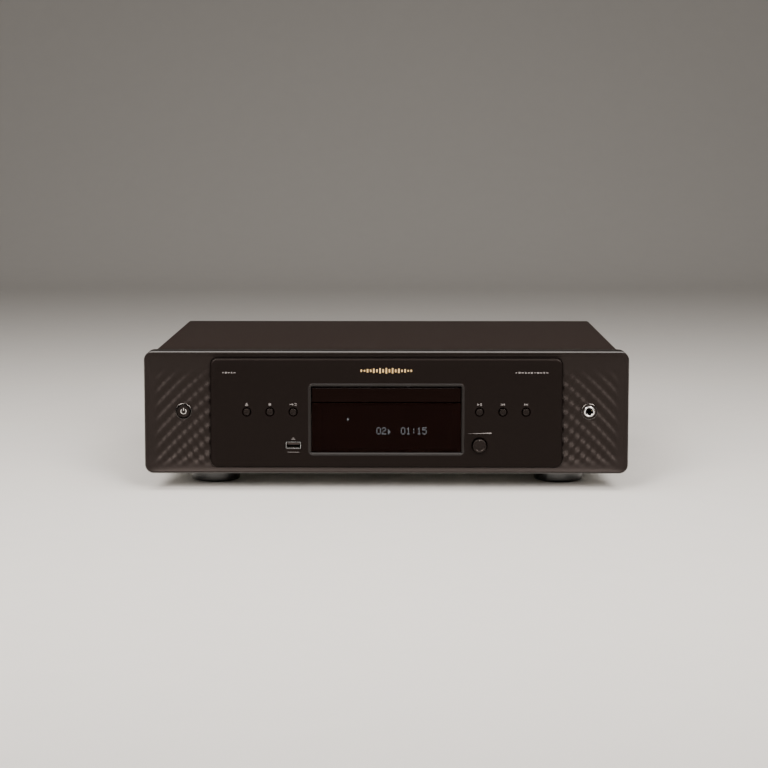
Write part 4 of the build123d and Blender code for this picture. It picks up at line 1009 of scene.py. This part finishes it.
slots = {entry["node"]: entry["material_slot"] for entry in frame["record"]["subparts"]}
for node, obj in frame["nodes"].items():
    obj.data.materials.clear()
    obj.data.materials.append(finish[slots[node]])

build_bezel()
build_plate()
build_printing()
build_gold_mark()
build_window()
build_door()
for key_node in KEYS:
    build_key(key_node)
build_power_button()
build_trim_rings()
build_phones_socket()
build_knob()
build_usb()
build_cover()
build_screws()
build_feet()
build_phono_sockets()
build_eased()


# ------------------------------------------------------------------ stage, lights and camera

def build_stage():
    """A pale floor that sweeps up into a backdrop behind the player."""
    bend, depth, half = 1.2, 2.6, 6.0
    profile = [(-6.0, 0.0), (depth, 0.0)]
    for k in range(1, 17):
        a = pi / 2 * k / 16
        profile.append((depth + bend * sin(a), bend * (1 - cos(a))))
    profile.append((depth + bend, 5.0))
    vertices = [(x, y, z) for y, z in profile for x in (-half, half)]
    faces = [(2 * k, 2 * k + 1, 2 * k + 3, 2 * k + 2) for k in range(len(profile) - 1)]
    floor = mesh_object("floor", vertices, faces)
    floor.data.shade_smooth()
    floor.data.materials.append(surface("floor_paper", (0.72, 0.70, 0.67), 0.85, specular=0.15, grain=3,
                                        relief=0.01, mottle=0.02))


def area_light(name, at, target, size, power, spread=180):
    data = bpy.data.lights.new(name, "AREA")
    data.spread = radians(spread)
    data.shape = "RECTANGLE"
    data.size, data.size_y = size
    data.energy = power
    data.color = (1.0, 0.95, 0.90)
    lamp = bpy.data.objects.new(name, data)
    lamp.location = at
    lamp.rotation_mode = "QUATERNION"
    lamp.rotation_quaternion = (Vector(target) - Vector(at)).to_track_quat("-Z", "Y")
    bpy.context.scene.collection.objects.link(lamp)


def build_lights():
    for name, side in (("left", -1), ("right", 1)):
        area_light(name + "_front_softbox", (side * 0.9, -2.25, 1.25), (side * 0.05, -0.18, 0.07),
                   (0.9, 1.2), 10, spread=60)
        area_light(name + "_softbox", (side * 1.7, -1.5, 0.9), (0, -0.1, 0.06), (0.7, 1.0), 6)
    area_light("overhead", (0, -0.50, 1.9), (0, -0.35, 0.0), (2.6, 1.3), 25, spread=120)
    world = bpy.data.worlds.new("studio")
    world.use_nodes = True
    world.node_tree.nodes["Background"].inputs["Color"].default_value = (0.80, 0.76, 0.72, 1)
    world.node_tree.nodes["Background"].inputs["Strength"].default_value = 0.17
    bpy.context.scene.world = world


def build_camera():
    """Seen from the front, a little above: two metres away through a long lens."""
    pitch, yaw = radians(6.23), radians(-0.45)
    aside, back, up = 0.0139, 2.039, 0.3211
    data = bpy.data.cameras.new("camera")
    data.sensor_width = 36
    data.lens = 105.6
    camera = bpy.data.objects.new("camera", data)
    camera.location = (aside, PLATE_Y - back, up)
    ahead = Vector((sin(yaw) * cos(pitch), cos(yaw) * cos(pitch), -sin(pitch)))
    camera.rotation_mode = "QUATERNION"
    camera.rotation_quaternion = ahead.to_track_quat("-Z", "Y")
    bpy.context.scene.collection.objects.link(camera)
    bpy.context.scene.camera = camera


build_stage()
build_lights()
build_camera()
